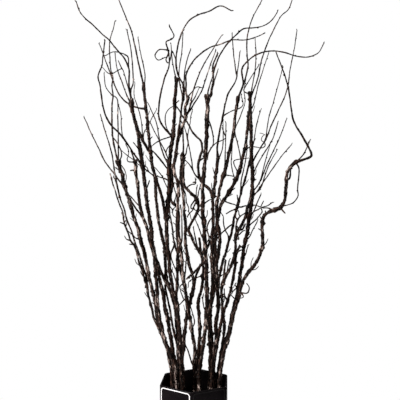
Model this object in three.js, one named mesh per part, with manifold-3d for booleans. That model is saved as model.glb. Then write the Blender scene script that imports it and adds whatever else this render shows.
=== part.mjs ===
// Willow stems standing in a hexagonal vase.
// Twenty cut stems, each with its own twigs, fan out of the mouth of a tall glazed vase.
// Millimetres, +Z up, origin at the centre of the vase's base, front towards -Y.
import * as THREE from 'three';
import { mergeVertices } from 'three/addons/utils/BufferGeometryUtils.js';
import Module from 'manifold-3d';

const wasm = await Module();
wasm.setup();

// ---- Driving dimensions: the vase ----
const VASE_HEIGHT = 260;
const VASE_RADIUS = 75; // centre to an outer corner
const VASE_TURN = THREE.MathUtils.degToRad(-94); // one corner faces the front, four degrees left
const VASE_SIDES = 6;
const CORNER_ROUND = 5; // along each side, from the sharp corner to where the rounding starts
const CORNER_STEPS = 3;
const WALL = 4;
const FLOOR = 8;
const RIM_ROUND = 1.2;
const FOOT_ROUND = 2;

// ---- Driving dimensions: how the stems stand ----
// The stems are drawn on a front elevation, [across, up], as an eye in front of the vase sees
// them. Their depth is given apart, so a limb that leans back is drawn smaller than it is.
const EYE = { aside: 11, away: 1084, height: 619 };
const DEPTH_LEVELS = [260, 600, 940]; // the heights at which a stem's depth is given
const FOOT_GAP = 0.5; // between a cut foot and the vase's floor
const FOOT_DRAW = 0.7; // how far the feet stand in from where the stems pass the rim
const SLACK = 0.7; // how far a limb's middle line may pass from a point of its route
const STEM_FACES = 6;
const TWIG_FACES = 4;

// girth: radius at the thick end and at the tip
// depth: how far behind the vase's centre the stem lies at each of DEPTH_LEVELS
// reach: how much further back the twig's tip lies than the place it springs from
// route: points of the front elevation from the thick end to the tip; a twig's first point
//        lies on the limb that it springs from
const STEMS = [
  {
    name: 'stem_01', girth: [3.3, 1], depth: [-8, -9, -40],
    route: [[-47, 277], [-50, 295], [-54, 315], [-61, 337], [-69, 357], [-77, 373], [-82.4, 387],
      [-85.8, 403], [-89, 417], [-92, 429], [-95, 443], [-98.6, 457], [-103, 472], [-108, 487],
      [-111.6, 499], [-115, 511], [-118, 521], [-122.4, 530], [-127, 537], [-130.4, 546], [-135, 559],
      [-139, 569], [-141.6, 581], [-143.6, 593], [-147.6, 605], [-152, 617], [-157, 632],
      [-161.4, 645], [-165.4, 659], [-169, 673]],
    twigs: [
      { reach: 40, girth: [2, 1], route: [[-90, 445], [-96, 463], [-101, 478], [-106.6, 498],
        [-113, 517], [-119, 533], [-123, 548], [-129, 565], [-135, 578], [-138, 589], [-142, 606],
        [-148, 620], [-153, 638], [-157.4, 655], [-162.2, 666]] },
      { reach: -80, girth: [1.3, 0.8], route: [[-149, 623], [-154, 647], [-159.6, 675], [-165, 709],
        [-170, 729], [-177, 751], [-183, 771], [-188, 789]] },
    ],
  },
  {
    name: 'stem_02', girth: [3, 3.4], depth: [19, 40, 59],
    route: [[-41, 277], [-45, 297], [-51, 315], [-57.6, 331], [-63.4, 347], [-68.4, 363], [-73.4, 381],
      [-76.2, 397], [-78, 413], [-81, 427], [-84.6, 441], [-88, 455], [-91.6, 469], [-94.4, 485],
      [-97.4, 501], [-101, 517], [-105.4, 530], [-109, 545], [-111.6, 557], [-116, 570], [-120, 581],
      [-124, 595], [-127.4, 607], [-131, 619], [-135, 631], [-139, 644], [-142.2, 657], [-145, 671],
      [-149.6, 683], [-153.2, 699]],
    twigs: [
      { reach: 50, girth: [1.6, 0.8], route: [[-152, 695], [-159, 719], [-163.6, 749], [-165, 779],
        [-165, 803], [-163, 829], [-165, 847], [-163, 863], [-167, 879], [-169, 899], [-169, 939],
        [-163, 959], [-159, 977]] },
      { reach: -40, girth: [1.3, 0.7], route: [[-152, 695], [-152.4, 739], [-153.4, 783], [-155, 821],
        [-167, 831], [-177, 845], [-181, 873]] },
      { reach: 10, girth: [1.3, 0.9], route: [[-151, 693], [-146, 707], [-147.6, 719], [-153.4, 731],
        [-161, 742], [-166, 748]] },
      { reach: 60, girth: [1.5, 0.8], route: [[-139.6, 647], [-149, 656], [-160, 671], [-173, 687],
        [-183, 703], [-191, 721], [-203, 745], [-212, 765], [-221, 785]] },
      { reach: -20, girth: [0.9, 0.7], route: [[-150, 695], [-144, 685], [-139, 677], [-136.4, 665],
        [-139, 651]] },
      { reach: -24, girth: [1.2, 0.8], route: [[-107.8, 539], [-117, 543], [-124, 550], [-131.6, 556]] },
    ],
  },
  {
    name: 'stem_03', girth: [3.2, 2.6], depth: [-11, -42, -100],
    route: [[-37, 277], [-40.6, 295], [-47, 311], [-53, 324], [-58.4, 337], [-62.4, 351], [-65.4, 365],
      [-69, 379], [-71.8, 395], [-73.8, 411], [-74.6, 429], [-75.4, 445], [-76.6, 461], [-78.2, 479],
      [-79.8, 495], [-81.6, 509], [-84.6, 521], [-87.6, 532], [-90.2, 543], [-93.4, 557], [-97.6, 570],
      [-101.8, 582], [-105, 593], [-107.8, 603], [-110.2, 615], [-111.4, 629], [-113, 641],
      [-114.8, 655], [-116.4, 671], [-117.8, 685], [-120, 699]],
    twigs: [
      { reach: 20, girth: [1.2, 0.8], route: [[-108.6, 607], [-114, 610.6], [-119, 616], [-125, 623],
        [-131, 629], [-136, 636]] },
      { reach: -12, girth: [1.2, 0.8], route: [[-120, 697], [-123, 707], [-128, 719]] },
      { reach: 8, girth: [1.4, 1.1], route: [[-117, 676], [-122, 678.4], [-128, 678]] },
      { reach: -20, girth: [0.9, 0.7], route: [[-120, 695], [-127, 695], [-133, 696], [-135, 701],
        [-133, 706], [-131.4, 715], [-134, 724], [-138, 731]] },
    ],
  },
  {
    name: 'stem_04', girth: [3.4, 3.2], depth: [11, 15, 9],
    route: [[-35, 277], [-39, 291], [-41.6, 305], [-43.6, 319], [-45.4, 333], [-47.4, 345],
      [-50.2, 357], [-51.8, 369], [-53.6, 381], [-57, 395], [-59.2, 407], [-60.4, 417], [-62.2, 429],
      [-64.6, 439], [-67, 449], [-69, 459], [-71, 469], [-73.4, 481], [-75.4, 491], [-77.8, 503],
      [-80.2, 515], [-82.6, 526], [-84.6, 537], [-85.6, 551], [-87, 565], [-89, 577], [-90.8, 589],
      [-92.4, 599], [-94.4, 609], [-95.8, 619], [-96.8, 629], [-98, 643], [-99.4, 655], [-101.4, 669],
      [-103.8, 683], [-105.2, 697], [-107.2, 711], [-109.4, 726], [-111, 739], [-112.4, 751],
      [-114.6, 761], [-117.6, 773], [-121, 785], [-124.2, 799], [-125.8, 811], [-126.2, 821]],
    twigs: [
      { reach: -60, girth: [1.5, 0.8], route: [[-128, 817], [-131, 849], [-131, 881], [-141, 903],
        [-153, 917], [-171, 939], [-183, 949], [-203, 969], [-217, 981], [-229, 995], [-237, 1017]] },
      { reach: -32, girth: [1, 0.7], route: [[-131, 885], [-133, 905], [-147, 913], [-163, 915],
        [-179, 907]] },
      { reach: 40, girth: [1.3, 0.8], route: [[-125, 815], [-127, 839], [-123, 851], [-123, 875],
        [-127, 919], [-135, 959]] },
      { reach: 20, girth: [1.2, 0.7], route: [[-127, 809], [-133, 823], [-145, 855], [-155, 883],
        [-159, 915]] },
      { reach: -20, girth: [1, 0.7], route: [[-127, 819], [-137, 859], [-145, 881], [-151, 879],
        [-169, 871], [-185, 885]] },
      { reach: -8, girth: [0.8, 0.7], route: [[-145, 881], [-153, 899]] },
      { reach: -90, girth: [1.6, 0.9], route: [[-104.4, 687], [-113, 700], [-123, 714], [-136, 734],
        [-150, 752], [-162, 764], [-171, 775], [-179, 791], [-185, 819], [-189, 849], [-193, 867],
        [-185, 887], [-183, 907], [-179, 939]] },
      { reach: -16, girth: [1, 0.7], route: [[-144, 744], [-146.4, 769], [-147, 789], [-153, 813]] },
      { reach: -20, girth: [1, 0.8], route: [[-109, 717], [-114, 724], [-123, 735]] },
      { reach: 12, girth: [1.2, 0.9], route: [[-97.6, 639], [-93.6, 647], [-89.6, 659]] },
      { reach: 30, girth: [1, 0.7], route: [[-104, 686], [-97, 686], [-91, 676], [-87, 671]] },
    ],
  },
  {
    name: 'stem_05', girth: [3.2, 2.8], depth: [24, 75, 125],
    route: [[-29.4, 277], [-31, 291], [-32.4, 305], [-33, 319], [-33.4, 331], [-33.4, 343],
      [-34.2, 355], [-35.2, 367], [-36, 379], [-36.8, 391], [-38.6, 403], [-41.4, 415], [-44.8, 427],
      [-48.4, 437], [-52.4, 446], [-55.4, 455], [-57.2, 465], [-58, 477], [-58, 491], [-58.4, 505],
      [-59.4, 519], [-61.2, 531], [-63.8, 542], [-66.4, 553], [-68.6, 564], [-71, 575], [-73, 586],
      [-74.6, 598], [-75.6, 611], [-76.8, 623], [-77.4, 635], [-78, 647], [-78.4, 659], [-80.2, 671],
      [-82.8, 683], [-85.2, 693], [-87.2, 705], [-88.4, 717], [-89.4, 729], [-90.6, 741], [-91.8, 753],
      [-93, 765], [-94.2, 779], [-96, 795], [-97.8, 811], [-99.4, 825], [-101, 839], [-101.8, 849]],
    twigs: [
      { reach: -20, girth: [2.2, 2], route: [[-87.4, 713], [-93, 720], [-98, 729], [-102.6, 737],
        [-106.4, 746], [-111, 757]] },
      { reach: 28, girth: [1.1, 0.7], route: [[-103.8, 740], [-105, 765], [-108, 785], [-115, 809],
        [-121, 829], [-119, 855]] },
      { reach: -28, girth: [1.1, 0.7], route: [[-102.6, 737], [-101, 753], [-93, 767], [-83, 787],
        [-75, 801]] },
      { reach: 60, girth: [1.6, 0.8], route: [[-97, 802], [-113, 803], [-131, 811], [-147, 825],
        [-159, 847], [-167, 869], [-177, 895], [-183, 913], [-191, 933]] },
      { reach: -30, girth: [1.6, 0.8], route: [[-102, 847], [-111, 889], [-119, 927], [-127, 959],
        [-139, 989], [-151, 1019], [-159, 1043]] },
      { reach: -32, girth: [1.2, 0.7], route: [[-100, 839], [-99, 869], [-107, 909], [-113, 943]] },
      { reach: -20, girth: [1.2, 0.7], route: [[-78.6, 665], [-86, 671], [-94, 677], [-105, 686],
        [-115, 692], [-122, 699], [-133, 707], [-147, 719]] },
      { reach: -30, girth: [2.4, 1.3], route: [[-54, 449], [-59, 458], [-63.4, 468], [-67.4, 479],
        [-71, 489], [-75, 498], [-79, 507], [-82.4, 518], [-86.4, 530], [-90.4, 543], [-93.8, 556],
        [-97.6, 568], [-102.6, 581.4], [-108.4, 591], [-114, 597.6], [-119, 605], [-124, 613],
        [-129, 622]] },
      { reach: 16, girth: [1.1, 0.8], route: [[-87.4, 719], [-82, 715], [-73, 706], [-65, 697],
        [-56, 684]] },
      { reach: -12, girth: [2.1, 1.7], route: [[-33.8, 333], [-39, 346], [-42.6, 363], [-46.4, 383],
        [-49.8, 403], [-53.8, 421], [-57.4, 439], [-59.2, 449]] },
    ],
  },
  {
    name: 'stem_06', girth: [3.3, 2.7], depth: [-22, -57, -122],
    route: [[-26, 277], [-27.8, 291], [-28.2, 305], [-29.8, 319], [-29.4, 331], [-28.2, 343],
      [-29.2, 355], [-31.2, 366], [-32.4, 379], [-32.8, 393], [-33.8, 405], [-36.2, 416], [-39.4, 425],
      [-42.6, 435], [-44.4, 446], [-46, 457], [-47.8, 468], [-49.6, 479], [-50.6, 493], [-51.6, 507],
      [-53, 521], [-54.4, 535], [-55.4, 551], [-56, 567], [-55.4, 583], [-54.6, 597], [-53.2, 611],
      [-52, 625], [-50.6, 639], [-50, 653], [-50.2, 667], [-50.4, 679], [-50.2, 691], [-49.4, 703],
      [-48.6, 713], [-47, 723], [-45, 732], [-43.2, 741], [-42, 753], [-41.2, 765], [-40.8, 777],
      [-39.8, 791], [-39.4, 805], [-39.2, 817], [-38.2, 829], [-37.2, 843], [-36.4, 855], [-35.8, 865]],
    twigs: [
      { reach: -24, girth: [2.4, 2], route: [[-56.2, 583], [-58.6, 593], [-60.6, 603], [-62.6, 613],
        [-64.6, 623], [-67, 632], [-70, 640], [-72.6, 648], [-75, 656], [-77.4, 664]] },
      { reach: -60, girth: [1.4, 0.8], route: [[-46, 745], [-59, 761], [-71, 783], [-69, 823],
        [-61, 859], [-51, 887], [-51, 907], [-53, 919], [-57, 935], [-45, 941], [-41, 947], [-45, 957],
        [-51, 967]] },
      { reach: 28, girth: [0.9, 0.7], route: [[-53, 919], [-71, 919], [-79, 907], [-73, 899],
        [-57, 905]] },
      { reach: 20, girth: [0.9, 0.7], route: [[-51, 911], [-57, 899], [-53, 893], [-49, 897],
        [-45, 917], [-37, 899]] },
      { reach: 20, girth: [1, 0.7], route: [[-37, 859], [-41, 879], [-45, 903], [-47, 931]] },
      { reach: 24, girth: [1, 0.7], route: [[-48, 747], [-55, 761], [-58.4, 777], [-57.4, 790],
        [-51, 801], [-42, 807]] },
      { reach: 24, girth: [1.2, 0.7], route: [[-52, 687], [-59, 703], [-65, 719], [-69, 732],
        [-71.6, 749], [-76, 773], [-84, 793], [-94, 815]] },
      { reach: -28, girth: [1.1, 0.7], route: [[-43, 747], [-53, 744], [-67, 739], [-78, 733],
        [-87, 725]] },
      { reach: -20, girth: [1, 0.7], route: [[-51, 677], [-67, 697], [-85, 719]] },
      { reach: -36, girth: [1, 0.7], route: [[-50, 693], [-58, 715], [-65, 728], [-72, 741],
        [-80, 756], [-89, 775]] },
      { reach: 20, girth: [1, 0.7], route: [[-52.4, 613], [-48.6, 605.4], [-43.8, 599], [-44, 593],
        [-42, 587.6], [-38.4, 584]] },
      { reach: 12, girth: [0.9, 0.7], route: [[-43.8, 599.4], [-41, 602.4], [-37.6, 605.8]] },
      { reach: 14, girth: [1.2, 0.8], route: [[-53.4, 657], [-59, 661.6], [-68, 664.4], [-78, 668]] },
      { reach: -14, girth: [1, 0.7], route: [[-53, 637], [-58, 651], [-64, 665], [-73, 677], [-80, 685]] },
      { reach: -12, girth: [1, 0.7], route: [[-46, 731], [-52, 725], [-56.4, 717], [-57, 708]] },
    ],
  },
  {
    name: 'stem_07', girth: [3.2, 2.4], depth: [0, -20, -50],
    route: [[0, 277], [-1, 291], [-0.4, 305], [1, 319], [-0.6, 333], [-3, 346], [-5.4, 359],
      [-7.6, 371], [-9.4, 383], [-11, 395], [-12.6, 406], [-14.6, 417], [-16.4, 428], [-18.2, 439],
      [-20.4, 451], [-22.2, 463], [-23.6, 476], [-24.6, 489], [-25.8, 503], [-27.2, 517], [-29, 530],
      [-30.8, 543], [-32, 557], [-32.2, 573], [-32, 589], [-32.8, 603], [-33.4, 617], [-33, 629],
      [-32.2, 641], [-32.6, 651], [-34.6, 659], [-37.4, 665], [-39.8, 673], [-40.8, 685], [-39.4, 698],
      [-37, 713], [-34.8, 727], [-32.2, 740], [-29, 751], [-25.8, 761], [-23.2, 770], [-19.8, 776.4],
      [-17.4, 782.4], [-18.4, 791], [-18.8, 800], [-17, 809], [-14.2, 817], [-13, 827]],
    twigs: [
      { reach: -24, girth: [1.8, 1.6], route: [[-36.6, 713], [-35.2, 727], [-34.6, 737], [-33.4, 747],
        [-32, 757], [-30.4, 767], [-28.6, 777], [-27.2, 787], [-26.4, 797], [-25.2, 807], [-23.6, 816],
        [-21.8, 823]] },
      { reach: -80, girth: [1.4, 0.8], route: [[-21.8, 819], [-23, 849], [-33, 869], [-37, 893],
        [-33, 929], [-23, 959], [-9, 979], [7, 989], [31, 997], [51, 1007], [75, 997]] },
      { reach: 16, girth: [1.1, 0.7], route: [[-23, 821], [-31, 867], [-25, 919], [-23, 955]] },
      { reach: 20, girth: [1.2, 0.7], route: [[-20, 823], [-20, 835], [-21, 851], [-19, 879],
        [-13, 905], [-7, 921]] },
      { reach: 60, girth: [1.4, 0.8], route: [[-15, 823], [-17, 833], [-17, 849], [-17, 869],
        [-9, 887], [7, 907], [29, 923], [53, 931], [75, 939], [103, 939], [123, 945], [141, 953]] },
      { reach: 80, girth: [1.3, 0.7], route: [[-16, 787], [-12, 797], [-8.4, 809], [-6, 823],
        [-2, 839], [5, 859], [11, 875], [25, 901], [41, 927], [55, 949]] },
      { reach: 28, girth: [1.3, 0.7], route: [[-15, 789], [-7, 801], [0, 813], [8, 825], [15, 839],
        [22, 859], [31, 887], [43, 919]] },
      { reach: 20, girth: [1.1, 0.7], route: [[-8, 810], [-1, 821], [4, 831], [9, 843]] },
      { reach: 12, girth: [1, 0.7], route: [[-11, 825], [-5, 835], [5, 845], [17, 843]] },
      { reach: -8, girth: [1.3, 1.1], route: [[-2, 285], [-6, 295], [-10, 309], [-14, 320],
        [-18.4, 329], [-19.8, 337]] },
      { reach: -12, girth: [1.1, 0.8], route: [[-6, 363], [-2, 368], [0.2, 375], [-1.4, 385],
        [-5.4, 397], [-8.6, 409]] },
      { reach: -10, girth: [1.3, 1], route: [[-29, 529], [-25.6, 539], [-25, 559], [-25.4, 579],
        [-26.4, 595], [-28.4, 609]] },
    ],
  },
  {
    name: 'stem_08', girth: [2.9, 2.7], depth: [1, 50, 90],
    route: [[-23, 277], [-25.4, 291], [-25.4, 303], [-23, 315], [-21.4, 327], [-21.8, 339],
      [-20.4, 351], [-18.8, 363], [-17.8, 375], [-15.6, 387], [-13.6, 397], [-11.2, 407], [-8.4, 416],
      [-5.8, 427], [-3.2, 439], [-1.8, 450], [-2.4, 460], [-4, 469], [-6.2, 477], [-9.4, 485],
      [-12.2, 495], [-14, 506], [-15.4, 517], [-17.4, 527], [-18.4, 539], [-18.4, 551], [-18, 563],
      [-18.2, 575], [-19.4, 585], [-20.8, 597], [-21.2, 611], [-22, 625], [-23, 637], [-25.2, 647],
      [-27, 657], [-27.2, 669], [-26.8, 681], [-25.8, 693], [-24.4, 703], [-23.4, 713]],
    twigs: [
      { reach: 28, girth: [1.2, 0.8], route: [[-20.4, 701], [-17.4, 711], [-15.4, 721], [-13, 732],
        [-14.8, 743], [-16.6, 753], [-19, 761], [-21, 769]] },
      { reach: 28, girth: [2.3, 2], route: [[-5, 429], [-1.8, 441], [0.2, 452], [2.2, 462], [5, 472],
        [8.6, 481], [11.8, 489]] },
      { reach: -10, girth: [1.5, 1.1], route: [[-23, 707], [-22.2, 721], [-22.2, 735], [-22.8, 749],
        [-23.2, 759], [-21.6, 769]] },
      { reach: 16, girth: [1.1, 0.8], route: [[-21, 642], [-18.6, 634], [-17, 624], [-16.4, 614.4],
        [-13.8, 609], [-11.4, 601], [-11.8, 595.8], [-9.4, 591.8], [-7.8, 585], [-6.6, 580]] },
      { reach: -10, girth: [1.2, 0.9], route: [[-14, 506], [-17, 496], [-17.8, 485], [-18.2, 473],
        [-19.8, 461]] },
    ],
  },
  {
    name: 'stem_09', girth: [3.2, 2.3], depth: [14, 30, 40],
    route: [[5, 277], [5.4, 291], [6.6, 305], [8.2, 319], [9.6, 333], [10.2, 347], [10.2, 361],
      [9.8, 375], [8.8, 389], [7.8, 401], [7.6, 413], [9.2, 425], [12, 436], [14.8, 447], [16.6, 460],
      [17.4, 474], [17, 487], [15.6, 499], [13, 509], [9, 517], [4.6, 524], [0.6, 531], [-3, 538],
      [-6.4, 545.4], [-9.8, 552.4], [-12, 559], [-10.2, 565.4], [-7, 571], [-3.8, 577.4], [-0.2, 584],
      [3.4, 590], [6.4, 596.4], [7.8, 604], [7.4, 611.4], [5.4, 617.4], [2.4, 622.4], [-1.8, 627.4],
      [-6.6, 632.6], [-11.6, 637.4], [-16.4, 642], [-20, 648.4], [-21.8, 657], [-22.6, 669],
      [-22.6, 681], [-21.4, 693], [-19.8, 705]],
    twigs: [
      { reach: 16, girth: [1.3, 0.9], route: [[6, 522], [3.6, 533], [1.4, 544], [-0.6, 555],
        [-2.6, 566]] },
      { reach: -12, girth: [1.9, 1.9], route: [[12.6, 515], [11.4, 526], [10.6, 535], [9.6, 543]] },
      { reach: -20, girth: [1.1, 0.8], route: [[4.6, 619.4], [7, 628], [8.4, 636], [10.4, 643],
        [12.6, 650]] },
      { reach: 8, girth: [1, 0.8], route: [[3, 621.4], [3.6, 633], [4.6, 642], [5.6, 648.4]] },
      { reach: -12, girth: [1.1, 0.8], route: [[-15.4, 641.4], [-13, 645.8], [-9, 648.4], [-4, 650.2],
        [1, 650.6], [2.6, 654], [1.8, 658.4], [1.8, 663.4]] },
      { reach: 6, girth: [1.1, 0.9], route: [[2.6, 653.8], [-1, 654.4], [-4.4, 653.6]] },
      { reach: 18, girth: [1.3, 0.9], route: [[3, 620.6], [-0.4, 617], [-4.2, 612], [-7.2, 606.4],
        [-6.4, 601.8], [-3, 601.8]] },
      { reach: -16, girth: [1.3, 0.9], route: [[4.6, 617], [1, 610], [-1.8, 604], [-4.2, 597.8],
        [-8.4, 593.8], [-12.2, 589], [-14.6, 585]] },
      { reach: 8, girth: [0.9, 0.7], route: [[-2.6, 602.6], [1, 599], [5, 596.6]] },
      { reach: -14, girth: [1, 0.8], route: [[7.6, 595], [11.4, 599], [15, 602.4]] },
      { reach: -20, girth: [1.1, 0.8], route: [[16, 467], [10, 465.8], [3.6, 463.2], [-2, 461.4],
        [-6.4, 459.4], [-11, 455.4], [-12.4, 450.4], [-12, 445]] },
    ],
  },
  {
    name: 'stem_10', girth: [3.5, 3], depth: [-12, -75, -150],
    route: [[10, 277], [11.2, 291], [13.4, 305], [15.4, 319], [17.6, 332], [19.6, 345], [21.4, 359],
      [22.6, 373], [23.8, 387], [24.8, 401], [25.2, 415], [25, 429], [24.6, 443], [24, 457], [24, 471],
      [23.8, 483], [23, 495], [22.2, 507], [21.6, 519], [21, 531], [20.4, 543], [19.8, 557], [19, 569],
      [17.8, 581], [17.2, 595], [16.8, 609], [16.6, 623], [16.4, 637], [16.8, 649], [18, 661],
      [19.4, 675], [20.6, 689], [21.4, 703], [22.4, 717], [23.2, 731], [24, 745], [24.6, 759],
      [24.8, 775], [25.4, 791], [26, 807], [26.2, 819], [26.4, 829]],
    twigs: [
      { reach: -60, girth: [1.8, 1], route: [[28, 825], [32, 828], [34.4, 839], [38, 855], [37, 887],
        [47, 913]] },
      { reach: 12, girth: [1.2, 0.7], route: [[26, 823], [27, 835], [35, 863]] },
      { reach: -20, girth: [1.2, 0.7], route: [[37, 875], [51, 909], [67, 933], [83, 949], [97, 961],
        [117, 963], [137, 967], [155, 979], [167, 997]] },
      { reach: 16, girth: [1, 0.7], route: [[37, 851], [47, 879]] },
      { reach: 12, girth: [1.1, 0.7], route: [[26, 783], [30, 775], [34, 761], [37, 747], [37.4, 731],
        [33.6, 723], [28, 713], [26, 701]] },
      { reach: 12, girth: [1.1, 0.8], route: [[17, 610], [23, 614.4], [30, 619], [35, 621]] },
      { reach: -16, girth: [1.1, 0.8], route: [[20, 538], [14.6, 546], [11.6, 555], [8.6, 563],
        [5.4, 571], [2, 579], [0.4, 582.4]] },
      { reach: 16, girth: [1.6, 1], route: [[23, 519], [27.8, 528], [29.4, 540], [27.6, 550],
        [25.6, 557], [25.4, 564], [27.6, 572.4], [31, 579], [34.4, 583]] },
      { reach: -12, girth: [1.1, 0.9], route: [[23, 395], [19.6, 402.4], [17.6, 411], [16.6, 422],
        [18, 432]] },
      { reach: -14, girth: [1, 0.7], route: [[18, 574], [14, 581], [10, 587.6], [6.6, 592.4]] },
      { reach: 20, girth: [2, 1.5], route: [[21, 499], [15.6, 492.4], [10.6, 486], [4.4, 479.4],
        [-2.4, 473], [-9.4, 466.4], [-16.4, 460.4]] },
    ],
  },
  {
    name: 'stem_11', girth: [3.1, 2.6], depth: [8, -5, -20],
    route: [[31, 277], [31.4, 291], [31.6, 305], [31.2, 319], [30.6, 333], [30.2, 347], [29.6, 361],
      [29, 375], [29.2, 389], [30.6, 401], [32.6, 413], [34.4, 425], [35.2, 437], [35.8, 449],
      [36, 461], [35.8, 475], [35.4, 489], [34.8, 503], [34.6, 515], [35, 527], [35.4, 539],
      [35.8, 551], [36.6, 563], [37.4, 573], [37.4, 585], [36.8, 597], [36.6, 609], [37, 619],
      [38.2, 629], [38.8, 639], [39.8, 649], [41.4, 659], [43, 669], [44.6, 680], [45.8, 691],
      [47, 703]],
    twigs: [
      { reach: 60, girth: [1.7, 0.8], route: [[47.6, 701], [45.6, 723], [50, 755], [57, 789],
        [65, 825], [69, 835], [79, 851], [85, 867], [83, 875], [79, 903], [77, 925], [75, 953]] },
      { reach: 16, girth: [1, 0.7], route: [[83, 871], [87, 883], [91, 917]] },
      { reach: 90, girth: [2.4, 1.3], route: [[37.6, 626], [33.6, 635], [28, 641.6], [22, 647.4],
        [17.4, 651.4], [13.4, 656.4], [10.2, 665], [8.2, 675], [7.8, 686], [9, 698], [12.2, 709],
        [15.4, 719], [15, 729], [11.6, 738.4], [4, 746], [-2.6, 753], [-8, 762], [-12.6, 771],
        [-17, 779], [-23, 785], [-30, 797], [-36, 806]] },
      { reach: -14, girth: [1.3, 0.8], route: [[11, 661], [4.6, 666], [-0.6, 673], [-4, 680.4],
        [-9, 688.4], [-14.4, 694.4], [-19, 699]] },
      { reach: 28, girth: [1, 0.7], route: [[-3.4, 681], [-5, 693], [-7, 705], [-9, 717], [-11, 727],
        [-12.6, 736], [-13.6, 745], [-12, 757], [-9, 771], [-7, 787], [-3.8, 799]] },
      { reach: -20, girth: [1.2, 0.8], route: [[10, 697], [16, 701.6], [23, 707], [28, 714], [35, 725],
        [45, 734], [55, 738.4], [62, 743], [59, 754], [55, 763]] },
      { reach: -16, girth: [1.1, 0.7], route: [[57, 787], [65, 792], [77, 798], [91, 803], [97, 809],
        [93, 829]] },
      { reach: 20, girth: [1.1, 0.7], route: [[47.6, 695], [56, 723], [57, 779]] },
      { reach: -28, girth: [1.5, 1], route: [[36, 525], [42, 536], [48.4, 547], [55, 553.6],
        [61.6, 559.4], [69, 566], [76, 571]] },
      { reach: 8, girth: [1, 0.7], route: [[38, 633], [35, 643], [33.8, 654]] },
    ],
  },
  {
    name: 'stem_12', girth: [3, 2.6], depth: [-8, -45, -90],
    route: [[35, 277], [35.6, 291], [37.2, 303], [39.6, 315], [41.4, 327], [42.6, 339], [42.8, 351],
      [42.6, 363], [43.2, 375], [44.8, 387], [46.8, 399], [48, 411], [47, 423], [45.8, 435], [45, 447],
      [44.4, 459], [44, 471], [44.2, 485], [45.2, 497], [47.2, 509], [49.2, 521], [50.6, 533],
      [50.4, 544], [49.2, 555], [47.2, 566], [45.4, 577], [44.2, 589], [43.6, 601], [44.2, 611],
      [45.8, 619], [47.8, 627], [49.6, 637], [51.8, 646], [54, 655], [57.4, 666], [61.2, 679],
      [65, 693], [68.6, 708], [72, 725], [75.4, 742], [78.4, 759], [80.8, 777], [82.6, 795], [85, 811],
      [87.4, 827]],
    twigs: [
      { reach: -24, girth: [1.1, 0.7], route: [[59.4, 673], [61, 699], [62.4, 739], [63, 775]] },
      { reach: -16, girth: [1.1, 0.9], route: [[60, 669], [67, 668.4], [75, 667], [81, 665.6]] },
      { reach: -80, girth: [1.4, 0.7], route: [[87.4, 821], [97, 851], [95, 881], [109, 899],
        [127, 911], [151, 917], [175, 915], [203, 907], [227, 905], [247, 913], [259, 933]] },
      { reach: 30, girth: [1.3, 0.7], route: [[87.6, 821], [97, 847], [107, 887], [105, 911],
        [105, 939], [113, 975], [123, 997], [135, 1019], [141, 1039]] },
    ],
  },
  {
    name: 'stem_13', girth: [3.3, 2.9], depth: [24, 75, 120],
    route: [[33.4, 277], [34, 291], [34.4, 305], [34.8, 319], [34.8, 333], [34.2, 345], [33.2, 357],
      [32, 369], [31.4, 381], [31.4, 393], [32.6, 405], [34.8, 417], [37, 428], [38.6, 439],
      [39.4, 451], [40, 463], [40.2, 477], [40.6, 491], [41, 505], [41.2, 519], [41.4, 533],
      [41.8, 546], [42.8, 558], [44.4, 569], [46.2, 579], [48, 589], [49.8, 598.4], [52, 607],
      [55.6, 614.4], [60.2, 621.4], [65, 628.4], [70, 636], [74.6, 644], [79, 652], [83, 660.4],
      [87, 671], [91, 683], [94.8, 697], [98.2, 711], [101, 725], [103.6, 741], [105.6, 759],
      [107.4, 777], [109.4, 795]],
    twigs: [
      { reach: 16, girth: [1.2, 0.9], route: [[58, 618], [64, 615], [72, 612], [83, 609]] },
      { reach: 24, girth: [1.1, 0.7], route: [[82, 658], [77, 673], [73.6, 693], [75, 719], [77, 759]] },
      { reach: -28, girth: [1.3, 0.7], route: [[109, 795], [113, 831], [121, 879], [123, 909],
        [121, 943]] },
      { reach: -30, girth: [1.4, 0.8], route: [[109, 795], [114, 827], [127, 863], [133, 895],
        [147, 935], [165, 973], [175, 989], [187, 999], [195, 1019], [201, 1039]] },
      { reach: 24, girth: [1.2, 0.7], route: [[109, 795], [117, 807], [127, 847], [139, 885],
        [149, 915]] },
      { reach: -14, girth: [1, 0.7], route: [[87, 673], [79, 691], [79, 697], [93, 701], [111, 703]] },
      { reach: 16, girth: [1.1, 0.7], route: [[99, 717], [111, 725], [123, 725], [135, 723],
        [141, 727], [140, 734], [134, 738], [135, 745], [139, 750], [132, 753]] },
      { reach: 20, girth: [1.2, 0.7], route: [[84, 660], [93, 679], [92, 703], [86, 733], [81, 757],
        [91, 785], [101, 815], [99, 839], [103, 861]] },
      { reach: 10, girth: [1.2, 0.9], route: [[69, 634], [75, 638.4], [81.6, 643.4]] },
    ],
  },
  {
    name: 'stem_14', girth: [3.1, 2], depth: [32, 110, 160],
    route: [[37.4, 277], [37.6, 291], [39.4, 303], [41.8, 315], [43.4, 327], [44.4, 339], [44.2, 351],
      [44, 363], [44.6, 375], [46.2, 387], [48, 399], [49, 411], [48.2, 423], [47, 435], [47.2, 445],
      [48.4, 455], [50, 465], [51.8, 476], [54, 486], [56.6, 496], [59.6, 505], [62.6, 514],
      [64.8, 523], [66.6, 532], [69.2, 539.6], [72.2, 546.6], [74.4, 555], [76.2, 564], [77.8, 574],
      [79.2, 584], [81.4, 592.4], [84.2, 600], [86.8, 608.4], [88.8, 617], [90.8, 625], [92.8, 633],
      [95, 641], [97.4, 649], [99.8, 657], [103, 668], [106.6, 680], [109.6, 692], [112, 703]],
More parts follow.
